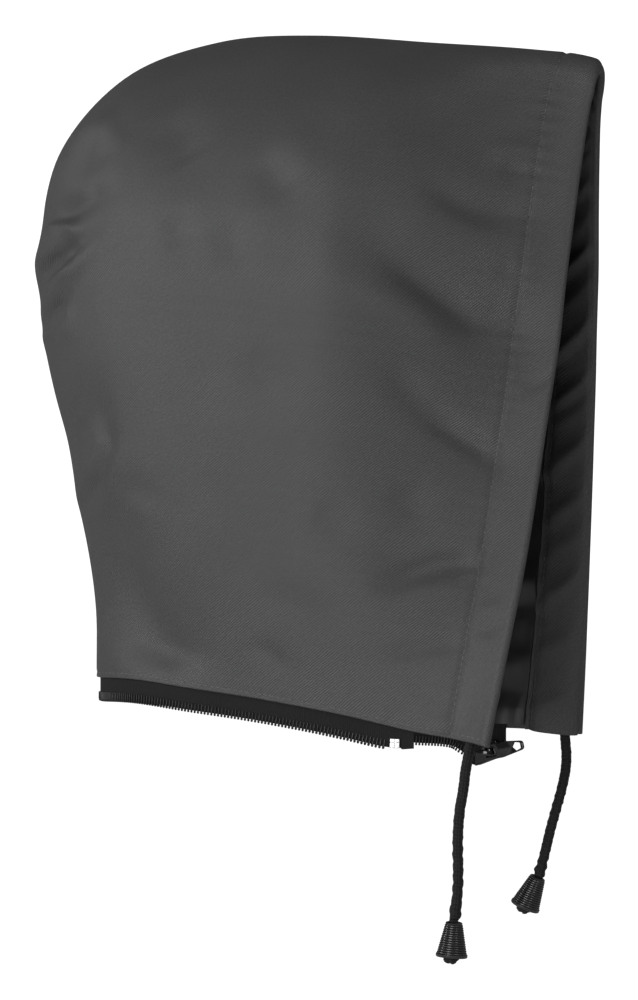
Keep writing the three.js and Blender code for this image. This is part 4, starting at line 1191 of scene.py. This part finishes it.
def panel_layers(side):
    """Distances behind the front edge and depths of both skins: facing, fold, casing and body."""
    rise = cloth_rows()[:, None]
    length = panel_length(rise)
    facing = np.linspace(1, 0, FACING_COLUMNS) * (FACING_END - FOLD_RADIUS) + FOLD_RADIUS + 0 * rise
    turn = math.pi * np.arange(FOLD_STEPS, 0, -1) / (FOLD_STEPS + 1) + 0 * rise
    strip = FOLD_RADIUS + np.linspace(0, 1, STRIP_COLUMNS) * (CASING - FOLD_RADIUS) + 0 * rise
    share = np.linspace(0, 1, BODY_COLUMNS + 1)[1:]
    body = CASING + (1 - (1 - share**1.12) ** 1.5) * (length - CASING)
    outer = np.concatenate([strip, body], 1)
    rises = rise + 0 * outer
    relief = outer_relief(outer, np.minimum(outer / length, 1), rises, side)
    up = rise * PANEL_HEIGHT
    below = WALL + casing_hollow(facing, rise) + facing_height(facing, up + 0 * facing, side)
    layers = []
    for radius, under in ((FOLD_RADIUS, 0), (FOLD_RADIUS - WALL, WALL)):
        behind = np.concatenate([facing, FOLD_RADIUS - radius * np.sin(turn), outer], 1)
        depth = [below + WALL - under, FOLD_RADIUS - radius * np.cos(turn), under - relief]
        layers.append((behind, np.concatenate(depth, 1)))
    (skin_behind, skin_depth), (back_behind, back_depth) = layers
    draw = rounded_edge(up, WALL / 2) * np.sign(back_depth - skin_depth)
    return rise, length, (skin_behind, skin_depth + draw), (back_behind, back_depth - draw)


class HOOD_OT_panels(bpy.types.Operator):
    """Cuts and turns in the two twill panels"""

    bl_idname = "hood.panels"
    bl_label = "Panels"

    def execute(self, context):
        split = FACING_COLUMNS + FOLD_STEPS
        for side, name in SIDE_NAMES.items():
            rise, length, *layers = panel_layers(side)
            skins = []
            for behind, depth in layers:
                rows = []
                for part, directions in ((slice(0, split), cloth), (slice(split, None), cloth_grid)):
                    across = np.minimum(behind[:, part] / length, 1)
                    rises = rise + 0 * across
                    surface = directions(across, rises, side)
                    rows.append(laid(surface, across, rises, side, depth[:, part]))
                skins.append(np.concatenate(rows, 1))
            skin, back = skins
            run = travelled(skin, 1)
            run -= run[:, [FACING_COLUMNS + FOLD_STEPS // 2]]
            uv = np.stack([side * run, travelled(skin)], -1)
            piece = closed_sheet(f"twill_panel_{name}", skin, back, uv)
            finish_piece(piece, [f"panel_{name}"], twill_material())
        return {"FINISHED"}


class HOOD_OT_linings(bpy.types.Operator):
    """Sews in the satin lining"""

    bl_idname = "hood.linings"
    bl_label = "Linings"

    def execute(self, context):
        for side, name in SIDE_NAMES.items():
            share = np.linspace(0, 1, LINING_STEPS)
            low = LINING_HEM / PANEL_HEIGHT
            rise = (low + (1 - low) * (1 - (1 - share) ** 1.5))[:, None]
            length = panel_length(rise)
            front = LINING_FRONT / length
            across = front + (1 - front) * (1 - (1 - share[None]) ** 1.4)
            rises = rise + 0 * across
            up = rises * PANEL_HEIGHT
            behind = across * length
            over_tape = (TAPE + CLOTH_GAP) * (1 - ease((up - TAPE_RISE - TAPE_CLEAR) / TAPE_STEP))
            inside = behind - LINING_FRONT
            gathers = 0
            for height, along, pitch, seed, fade in (
                    (0.0011, behind, 0.013, LINING_SEED, np.exp(-up / 0.045)),
                    (0.0009, up, 0.026, LINING_SEED + 10, np.exp(-inside / 0.02)),
                    (0.0010, behind + 0.3 * up, 0.047, LINING_SEED + 20, 1)):
                gathers = gathers + height * (0.5 + 0.5 * ripple(along, pitch, seed + side)) * fade
            room = ease((1 - across) / 0.04) * ease((1 - rises) / 0.04) * ease(inside / 0.004)
            depth = WALL + CLOTH_GAP + LINING_EASE + over_tape + gathers * room
            depth = depth - crease_height(side_place(across, rises), side)
            surface = cloth_grid(across, rises, side)
            outer = laid(surface, across, rises, side, depth)
            inner = laid(surface, across, rises, side, depth + LINING)
            uv = np.stack([travelled(outer, 1), travelled(outer)], -1)
            piece = closed_sheet(f"satin_lining_{name}", outer, inner, uv)
            finish_piece(piece, [f"lining_{name}"], satin_material())
        return {"FINISHED"}


def down_from(points, drop):
    """The points lowered by a drop."""
    low = points.copy()
    low[..., 2] -= drop
    return low


def zip_line(step):
    """Stations at even steps along the zip, from its right end round the neck to its left end."""
    halves = []
    for side in BOTH:
        length = float(panel_length(np.array(0.0)))
        across = np.linspace(ZIP_INSETS[side] / length, 1, ZIP_STATIONS)
        rise = np.zeros_like(across)
        surface = cloth(across, rise, side)
        hem = laid(surface, across, rise, side, np.full_like(across, TAPE_DEPTH))
        high = rise + TAPE_RISE / PANEL_HEIGHT
        upper = cloth(across, high, side)
        top = laid(upper, across, high, side, TAPE_DEPTH - crease_height(side_place(across, high), side))
        out = surface[1].copy()
        hem[-1, 0] = top[-1, 0] = 0
        out[-1] = (0, 1, 0)
        run = (across * length - ZIP_INSETS[side]) / SLIDER_RUN
        drop = ZIP_DROP * look_up(ZIP_DROPS[side][:, 0], ZIP_DROPS[side][:, 1], run)
        rows = np.concatenate([hem, top, out, drop[:, None]], 1)
        halves.append(rows if side == RIGHT else rows[::-1][1:])
    rows = np.concatenate(halves)
    lengths = travelled(down_from(rows[:, :3], rows[:, 9]))
    even = np.arange(0, lengths[-1], step)
    rows = np.stack([np.interp(even, lengths, rows[:, k]) for k in range(rows.shape[1])], -1)
    return {"hem": rows[:, :3], "top": rows[:, 3:6], "out": unit(rows[:, 6:9]), "drop": rows[:, 9],
            "run": even}


class HOOD_OT_zip_tape(bpy.types.Operator):
    """Lays the woven zip tape inside the hem"""

    bl_idname = "hood.zip_tape"
    bl_label = "Zip tape"

    def execute(self, context):
        line = zip_line(TAPE_ROW)
        end = line["run"] < END_TAB / 2
        edge = line["drop"] - np.where(end, 0, COIL_HEIGHT * 0.2)
        rows = [line["top"] + (line["hem"] - line["top"]) * share for share in (0, 0.35, 0.7, 0.95)]
        rows += [down_from(line["hem"], edge * share) for share in (0.12, 0.3, 0.48, 0.66, 0.84, 0.96, 1)]
        lines = np.array(rows)
        wave = 0.00012 * ripple(line["run"], 0.02, TAPE_SEED)
        lines = lines + line["out"][None] * wave[None, :, None]
        thick = np.full(lines.shape[:2], TAPE / 2 * 0.7)
        thick[0] = thick[-1] = TAPE / 2 * 0.35
        skin = lines + line["out"][None] * thick[..., None]
        back = lines - line["out"][None] * thick[..., None]
        climb = travelled(lines)
        uv = np.stack([line["run"][None] + 0 * climb, climb], -1)
        piece = closed_sheet("neck_zip_tape", skin, back, uv)
        finish_piece(piece, ["zip_tape"], tape_material())
        return {"FINISHED"}


class HOOD_OT_zip_coil(bpy.types.Operator):
    """Winds the nylon coil along the tape's edge"""

    bl_idname = "hood.zip_coil"
    bl_label = "Zip coil"

    def execute(self, context):
        pick_none()
        pitch = context.scene.hood_trim.tooth_pitch
        half = COIL_THICKNESS / 2 - TOOTH_WIRE
        stops = [  # along the pitch, out of the tape, below the coil's top, wire radius as a share
            (0, half, 0.0, 0.9), (0.02, half, 0.0016, 1), (0.05, half * 1.05, 0.0031, 1.05),
            (0.09, half * 0.75, 0.0039, 1.35), (0.25, 0, 0.00405, 1.6), (0.41, -half * 0.75, 0.0039, 1.35),
            (0.45, -half * 1.05, 0.0031, 1.05), (0.48, -half, 0.0016, 1), (0.5, -half, 0.0, 0.9),
        ]
        path = np.array([(s[0] * pitch, s[1], -s[2]) for s in stops])
        radii = np.array([[s[3] * TOOTH_WIRE] * 6 for s in stops])
        tooth = tube_piece("tooth", path, radii, 80)
        line = zip_line(pitch)
        keep = line["run"] > END_TAB
        top = down_from(line["hem"], line["drop"] - COIL_HEIGHT)
        along = unit(np.gradient(top, axis=0))
        out = line["out"]
        down = unit(np.cross(along, out))
        down *= np.sign(down[:, 2:3])
        placements = [np.stack([along[i], out[i], down[i], top[i]], -1) for i in np.nonzero(keep)[0]]
        coil = smooth(copies("nylon_coil", tooth, placements), 80)
        drop_model(tooth)
        finish_piece(coil, ["zip_coil"], nylon_material())
        return {"FINISHED"}


SLIDER_LENGTH = 0.0155
SLIDER_PLATE = 0.0014
SLIDER_ROOM = 0.00035
CHANNEL_HALF = COIL_THICKNESS / 2 + SLIDER_ROOM
SLIDER_HALF = CHANNEL_HALF + SLIDER_PLATE
LIP_HALF = TAPE / 2 + SLIDER_ROOM
LIP_Y = COIL_HEIGHT + SLIDER_ROOM
LIP_TOP = LIP_Y + 0.001
SLIDER_TAPER = 0.0022
REAR_ROUND, FRONT_ROUND = 0.0034, 0.0015
LIP_LENGTH = SLIDER_LENGTH * 0.72
BRIDGE_WIDTH = 0.0033
BRIDGE_LENGTH = 0.0094
BRIDGE_BAR = 0.0012
BRIDGE_FRONT = SLIDER_LENGTH / 2 - 0.002
PULL_THICKNESS = 0.0014
BAR_HEIGHT = PULL_THICKNESS * math.sqrt(0.5) + SLIDER_ROOM
PULL_LENGTH = 0.0217
BRIDGE_REAR = BRIDGE_FRONT - BRIDGE_LENGTH
BRIDGE_LOW = SLIDER_HALF - 0.0004
BRIDGE_TOP = SLIDER_HALF + 2 * BAR_HEIGHT + BRIDGE_BAR / 2
BRIDGE_ROUTE = [  # along the slider, out of it
    (BRIDGE_REAR + 0.0003, BRIDGE_LOW), (BRIDGE_REAR + 0.0005, BRIDGE_LOW + 0.0013),
    (BRIDGE_REAR + 0.0010, BRIDGE_TOP - 0.0008), (BRIDGE_REAR + 0.0020, BRIDGE_TOP - 0.0001),
    (BRIDGE_REAR + 0.0035, BRIDGE_TOP), (BRIDGE_FRONT - 0.0028, BRIDGE_TOP - 0.0001),
    (BRIDGE_FRONT - 0.0015, BRIDGE_TOP - 0.0006), (BRIDGE_FRONT - 0.0008, BRIDGE_TOP - 0.0016),
    (BRIDGE_FRONT - 0.0006, BRIDGE_LOW + 0.0010), (BRIDGE_FRONT - 0.0006, BRIDGE_LOW),
]


def slider_matrix():
    """The slider's frame: X forward along the coil, Y up to the hem and Z to the neck."""
    up = -Vector(JOINT["axis"]).normalized()
    inward = -Vector(FACE_MOUNT["axis"]).normalized()
    forward = up.cross(inward).normalized()
    place = Vector(FACE_MOUNT["pos_m"]) + inward * SLIDER_HALF
    rotation = Matrix((forward, up, inward)).transposed().to_4x4()
    return Matrix.Translation(place) @ rotation


def block(name, size, place):
    """A box of a size at a place, with its scale applied."""
    pick_none()
    bpy.ops.mesh.primitive_cube_add(size=1, location=place)
    piece = bpy.context.active_object
    piece.name = name
    piece.scale = size
    bpy.ops.object.transform_apply(location=True, scale=True)
    return piece


def join(name, parts):
    pick_none()
    for part in parts:
        part.select_set(True)
    bpy.context.view_layer.objects.active = parts[0]
    bpy.ops.object.join()
    piece = bpy.context.active_object
    piece.name = name
    piece.data.name = name
    return piece


def slider_plate(sign):
    """One plate of the slider, round at the rear and drawn in at the lower front."""
    end = SLIDER_LENGTH / 2 * 0.9
    middle = sign * (SLIDER_HALF - SLIDER_PLATE / 2)
    plate = block("plate", (SLIDER_LENGTH, 2 * LIP_TOP, SLIDER_PLATE), (0, 0, middle))
    edit(plate)
    choose(plate, "vertices", lambda v: v.x > end and v.y < 0)
    bpy.ops.transform.translate(value=(0, SLIDER_TAPER, 0))
    choose(plate, "edges", lambda v: v.x < -end and abs(v.z - middle) < SAME)
    bpy.ops.mesh.bevel(offset=REAR_ROUND, segments=7, affect="EDGES")
    choose(plate, "edges", lambda v: v.x > end and abs(v.z - middle) < SAME)
    bpy.ops.mesh.bevel(offset=FRONT_ROUND, segments=5, affect="EDGES")
    leave()
    return plate


def bridge_arch():
    """The bar of the bridge, drawn out along its route and turned to follow it."""
    pick_none()
    route = BRIDGE_ROUTE
    bpy.ops.mesh.primitive_plane_add(size=1, location=(route[0][0], 0, route[0][1]))
    arch = bpy.context.active_object
    arch.scale = (BRIDGE_BAR, BRIDGE_WIDTH, 1)
    bpy.ops.object.transform_apply(location=True, scale=True)
    bpy.ops.object.mode_set(mode="EDIT")
    bpy.ops.mesh.select_all(action="SELECT")
    heading = math.pi / 2
    for before, here, after in zip(route, route[1:], route[2:] + route[-1:]):
        step = (here[0] - before[0], 0, here[1] - before[1])
        bpy.ops.mesh.extrude_region_move(TRANSFORM_OT_translate={"value": step})
        ahead = math.atan2(after[1] - before[1], after[0] - before[0])
        bpy.ops.transform.rotate(value=ahead - heading, orient_axis="Y",
                                 center_override=(here[0], 0, here[1]))
        heading = ahead
    outward_faces()
    return arch


class HOOD_OT_slider(bpy.types.Operator):
    """Casts the zip slider with its bridge"""

    bl_idname = "hood.slider"
    bl_label = "Slider"

    def execute(self, context):
        parts = [slider_plate(1), slider_plate(-1)]
        lip = SLIDER_HALF - LIP_HALF
        for sign in (1, -1):
            middle, lip_y = sign * (LIP_HALF + lip / 2), (LIP_TOP + LIP_Y) / 2
            upper = block("lip", (LIP_LENGTH, LIP_TOP - LIP_Y, lip), (0.0004, lip_y, middle))
            lower = block("lip", (LIP_LENGTH, LIP_TOP - LIP_Y, lip), (-0.0002, -lip_y, middle))
            edit(lower)
            bpy.ops.mesh.select_all(action="SELECT")
            bpy.ops.transform.rotate(value=-math.atan(SLIDER_TAPER / SLIDER_LENGTH), orient_axis="Z",
                                     center_override=(-SLIDER_LENGTH / 2, -LIP_TOP, 0))
            leave()
            parts += [upper, lower]
        parts.append(block("web", (0.0062, 0.0014, 2 * CHANNEL_HALF + 0.0004), (-0.0042, -0.00105, 0)))
        parts = [bevelled(part, 0.00032, 3, 40) for part in parts]
        parts.append(bevelled(bridge_arch(), 0.0003, 3, 50))
        slider = smooth(join("slider_body", parts), 35)
        place_mesh(slider, slider_matrix())
        finish_piece(slider, ["zip_slider"], enamel_material())
        return {"FINISHED"}


REAR, ROOT, ARM = -PULL_THICKNESS / 2, 0.004, 0.00175
WINDOW_FRONT, WINDOW_SIDE = PULL_THICKNESS / 2 + 0.0056, ROOT - ARM
PULL_SEAM, SHOULDER, TIP = 0.0083, PULL_LENGTH * 0.45, 0.0022
HOLE_RADIUS = 0.0025
HOLE_X = PULL_LENGTH - 0.0016 - HOLE_RADIUS * math.cos(math.pi / 5)
HOLE_TURNS = [math.pi - TURN * i / 5 for i in range(5)]
# Outlines of the pull from above, as places along it and across it
PULL_REAR = [
    (PULL_SEAM, 0), (PULL_SEAM, ROOT), (REAR + 0.0009, ROOT), (REAR + 0.0002, ROOT - 0.0003),
    (REAR, ROOT - 0.0009), (REAR, -ROOT + 0.0009), (REAR + 0.0002, -ROOT + 0.0003),
    (REAR + 0.0009, -ROOT), (PULL_SEAM, -ROOT),
]
PULL_WINDOW = [
    (WINDOW_FRONT, 0), (WINDOW_FRONT, WINDOW_SIDE - 0.0005), (WINDOW_FRONT - 0.0005, WINDOW_SIDE),
    (-REAR, WINDOW_SIDE), (-REAR, -WINDOW_SIDE), (WINDOW_FRONT - 0.0005, -WINDOW_SIDE),
    (WINDOW_FRONT, -WINDOW_SIDE + 0.0005),
]
PULL_FRONT = [
    (PULL_SEAM, 0), (PULL_SEAM, ROOT), (SHOULDER, ROOT), (PULL_LENGTH - 0.0012, TIP + 0.0001),
    (PULL_LENGTH - 0.0003, TIP - 0.0004), (PULL_LENGTH, TIP - 0.0012), (PULL_LENGTH, -TIP + 0.0012),
    (PULL_LENGTH - 0.0003, -TIP + 0.0004), (PULL_LENGTH - 0.0012, -TIP - 0.0001), (SHOULDER, -ROOT),
    (PULL_SEAM, -ROOT),
]
PULL_HOLE = [(HOLE_X + HOLE_RADIUS * math.cos(t), 0.9 * HOLE_RADIUS * math.sin(t)) for t in HOLE_TURNS]


def ring_between(name, outer, inner):
    """A flat ring between two loops of corners."""
    pick_none()
    loops = []
    for corners in (outer, inner):
        bpy.ops.mesh.primitive_circle_add(vertices=len(corners), radius=1)
        loop = bpy.context.active_object
        for vertex, corner in zip(loop.data.vertices, corners):  # the ring takes the outline's corners
            vertex.co = (*corner, 0)
        loops.append(loop)
    piece = join(name, loops)
    edit(piece)
    bpy.ops.mesh.select_all(action="SELECT")
    bpy.ops.mesh.bridge_edge_loops()
    leave()
    return piece


class HOOD_OT_pull(bpy.types.Operator):
    """Stamps the pull that hangs on the slider's bridge"""

    bl_idname = "hood.pull"
    bl_label = "Pull"

    def execute(self, context):
        rear_ring = ring_between("pull_rear", PULL_REAR, PULL_WINDOW)
        front_ring = ring_between("pull_front", PULL_FRONT, PULL_HOLE)
        pull = join("pull_tab", [rear_ring, front_ring])
        edit(pull)
        bpy.ops.mesh.select_all(action="SELECT")
        bpy.ops.mesh.remove_doubles(threshold=1e-6)
        bpy.ops.mesh.extrude_region_move(TRANSFORM_OT_translate={"value": (0, 0, PULL_THICKNESS)})
        bpy.ops.mesh.select_all(action="SELECT")
        bpy.ops.transform.translate(value=(0, 0, -PULL_THICKNESS / 2))
        outward_faces()
        bevelled(pull, 0.00028, 3, 28)
        smooth(pull, 40)
        turn = slider_matrix().to_3x3().to_4x4()
        place_mesh(pull, Matrix.Translation(Vector(JOINT["pos_m"])) @ turn)
        finish_piece(pull, ["zip_pull"], enamel_material(), body="pull")
        return {"FINISHED"}


STOP_LOBES = [  # size, place
    ((0.0023, height, 0.0013), (x, y, 0))
    for x in (-0.00112, 0.00112) for y, height in ((0.00125, 0.0017), (-0.00095, 0.0026))
]


class HOOD_OT_stop(bpy.types.Operator):
    """Clamps the bright stop on the end of the coil"""

    bl_idname = "hood.stop"
    bl_label = "Zip stop"

    def execute(self, context):
        parts = [bevelled(block("lobe", size, place), 0.0003, 3, 40) for size, place in STOP_LOBES]
        parts.append(bevelled(block("plate", (0.0044, 0.0040, 0.0005), (0, 0, -0.0001)), 0.0002, 2, 40))
        stop = smooth(join("coil_stop", parts), 40)
        line = zip_line(STOP_SEARCH)
        low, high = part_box("zip_top_stop")
        middle = np.array((low + high) / 2)
        tips = down_from(line["hem"], line["drop"])
        nearest = int(np.argmin(np.linalg.norm(tips - middle, axis=1)))
        along = Vector(tips[nearest - 4] - tips[nearest + 4]).normalized()
        out = Vector(line["out"][nearest])
        out = (out - along * out.dot(along)).normalized()
        up = out.cross(along).normalized()
        rotation = Matrix((along, up, out)).transposed().to_4x4()
        place_mesh(stop, Matrix.Translation(Vector(middle) + Vector((0, 0, STOP_LIFT))) @ rotation)
        finish_piece(stop, ["zip_top_stop"], bright_material())
        return {"FINISHED"}


STITCH_BREADTH, STITCH_THICKNESS = 0.00052, 0.00042
STITCH_PROUD = 0.00008
STITCH_SEED = 5


def stitch_placements(across, rise, side, depth, direction, seed):
    """Places for stitches on the cloth, each with its long side along the sewn line."""
    points, normals = cloth(across, rise, side)
    points = points - normals * depth[:, None]
    along = unit(np.gradient(points, axis=0))
    out = normals * direction
    lean = np.random.default_rng(seed).uniform(-0.12, 0.12, len(points))[:, None]
    along = unit(along + np.cross(out, along) * lean)
    sideways = np.cross(out, along)
    return [np.stack([along[i], sideways[i], out[i], points[i]], -1) for i in range(len(points))]


class HOOD_OT_stitching(bpy.types.Operator):
    """Sews the topstitching of the casings and the hem"""

    bl_idname = "hood.stitching"
    bl_label = "Stitching"

    def execute(self, context):
        pitch = context.scene.hood_cloth.stitch_pitch
        pick_none()
        bpy.ops.mesh.primitive_uv_sphere_add(segments=8, ring_count=6, radius=0.5)
        stitch = context.active_object
        stitch.rotation_euler = (0, math.pi / 2, 0)
        bpy.ops.object.transform_apply(rotation=True)
        stitch.scale = (pitch * 0.74, STITCH_BREADTH, STITCH_THICKNESS)
        bpy.ops.object.transform_apply(scale=True)
        for side, name in SIDE_NAMES.items():
            up = np.arange(STITCHED_FROM, PANEL_HEIGHT - STITCHED_TO, pitch)
            rise = up / PANEL_HEIGHT
            behind = np.full_like(up, CASING - STITCH_INSET)
            across = behind / panel_length(rise)
            over = -outer_relief(behind, across, rise, side) - STITCH_PROUD
            places = stitch_placements(across, rise, side, over, 1, STITCH_SEED + side)
            under = 2 * WALL + casing_hollow(behind, rise) + facing_height(behind, up, side) + STITCH_PROUD
            places += stitch_placements(across, rise, side, under, -1, STITCH_SEED + 10 + side)
            length = float(panel_length(np.array(0.0)))
            behind = np.arange(HEM_STITCHED_FROM, length - HEM_STITCHED_TO, pitch)
            across, rise = behind / length, np.full_like(behind, HEM_STITCH / PANEL_HEIGHT)
            over = -outer_relief(behind, across, rise, side) - STITCH_PROUD
            places += stitch_placements(across, rise, side, over, 1, STITCH_SEED + 20 + side)
            piece = smooth(copies(f"topstitching_{name}", stitch, places), 60)
            finish_piece(piece, [], thread_material())
        drop_model(stitch)
        return {"FINISHED"}


FLOOR_HEIGHT = -0.60
FLOOR_RADIUS = 12
SHOWN_WHITE = 1.15
LIGHTS = [  # name, place, target, size, setting of its power
    ("key", (-2.38, 0.22, -0.1), (0, 0, -0.2), 1.1, "key_power"),
    ("rim", (-0.75, 2.2, 0.7), (0, 0, -0.15), 0.6, "rim_power"),
    ("front_fill", (-1.3, -2.0, 0.6), (0, 0, -0.2), 0.6, "fill_power"),
]


class HOOD_OT_studio(bpy.types.Operator):
    """Sets the pale floor, the white room and the soft lights"""

    bl_idname = "hood.studio"
    bl_label = "Studio"

    def execute(self, context):
        studio = context.scene.hood_studio
        pick_none()
        bpy.ops.mesh.primitive_circle_add(
            vertices=96, radius=FLOOR_RADIUS, fill_type="NGON", location=(0, 0, FLOOR_HEIGHT))
        floor = context.active_object
        floor.name = "studio_floor"

        def dress(w, shader):
            tone = uneven_tone(w, object_place(w), 0.8, 12.0, 0.01, 0.005)
            w.feed(shader.inputs["Base Color"], w.tint((0.86, 0.86, 0.86), tone))
            w.feed(shader.inputs["Emission Color"], w.node("ShaderNodeLightPath").outputs["Is Camera Ray"])

        fixed = {"Roughness": 0.9, "Emission Strength": 0.9}
        floor.data.materials.append(material("studio floor", fixed, dress))
        for name, place, target, size, power in LIGHTS:
            data = bpy.data.lights.new(name, "AREA")
            data.size = size
            data.energy = getattr(studio, power)
            light = bpy.data.objects.new(name, data)
            context.collection.objects.link(light)
            light.location = place
            aim(light, target)
            light.visible_camera = False
        world = bpy.data.worlds.new("white room")
        context.scene.world = world
        world.use_nodes = True
        wiring = Wiring(world.node_tree)
        shown = world.node_tree.nodes["Background"]
        room = wiring.node("ShaderNodeBackground")
        for background, strength in ((shown, SHOWN_WHITE), (room, studio.surround)):
            background.inputs["Color"].default_value = (1, 1, 1, 1)
            background.inputs["Strength"].default_value = strength
        mix = wiring.node("ShaderNodeMixShader")
        ray = wiring.node("ShaderNodeLightPath")
        wiring.feed(mix.inputs[0], ray.outputs["Is Camera Ray"])
        wiring.feed(mix.inputs[1], room.outputs[0])
        wiring.feed(mix.inputs[2], shown.outputs[0])
        wiring.feed(world.node_tree.nodes["World Output"].inputs[0], mix.outputs[0])
        context.scene.view_settings.view_transform = "Standard"
        return {"FINISHED"}


class HOOD_PT_sidebar(bpy.types.Panel):
    """Lists the hood's pieces and settings"""

    bl_label = "Hood"
    bl_idname = "HOOD_PT_sidebar"
    bl_space_type = "VIEW_3D"
    bl_region_type = "UI"
    bl_category = "Hood"

    def draw(self, context):
        for settings in (context.scene.hood_cloth, context.scene.hood_trim, context.scene.hood_studio):
            for name in settings.__annotations__:
                self.layout.prop(settings, name)
        for operator in OPERATORS:
            self.layout.operator(operator.bl_idname)


SETTINGS = {"hood_cloth": HoodCloth, "hood_trim": HoodTrim, "hood_studio": HoodStudio}
OPERATORS = [
    HOOD_OT_camera, HOOD_OT_cords, HOOD_OT_bells, HOOD_OT_knots, HOOD_OT_panels, HOOD_OT_linings,
    HOOD_OT_zip_tape, HOOD_OT_zip_coil, HOOD_OT_slider, HOOD_OT_pull, HOOD_OT_stop, HOOD_OT_stitching,
    HOOD_OT_studio,
]


def register():
    for kind in [*SETTINGS.values(), *OPERATORS, HOOD_PT_sidebar]:
        bpy.utils.register_class(kind)
    for name, kind in SETTINGS.items():
        setattr(bpy.types.Scene, name, bpy.props.PointerProperty(type=kind))


def unregister():
    for name in SETTINGS:
        delattr(bpy.types.Scene, name)
    for kind in reversed([*SETTINGS.values(), *OPERATORS, HOOD_PT_sidebar]):
        bpy.utils.unregister_class(kind)


def main():
    register()
    for operator in OPERATORS:
        category, name = operator.bl_idname.split(".")
        getattr(getattr(bpy.ops, category), name)()


if __name__ == "__main__":
    main()
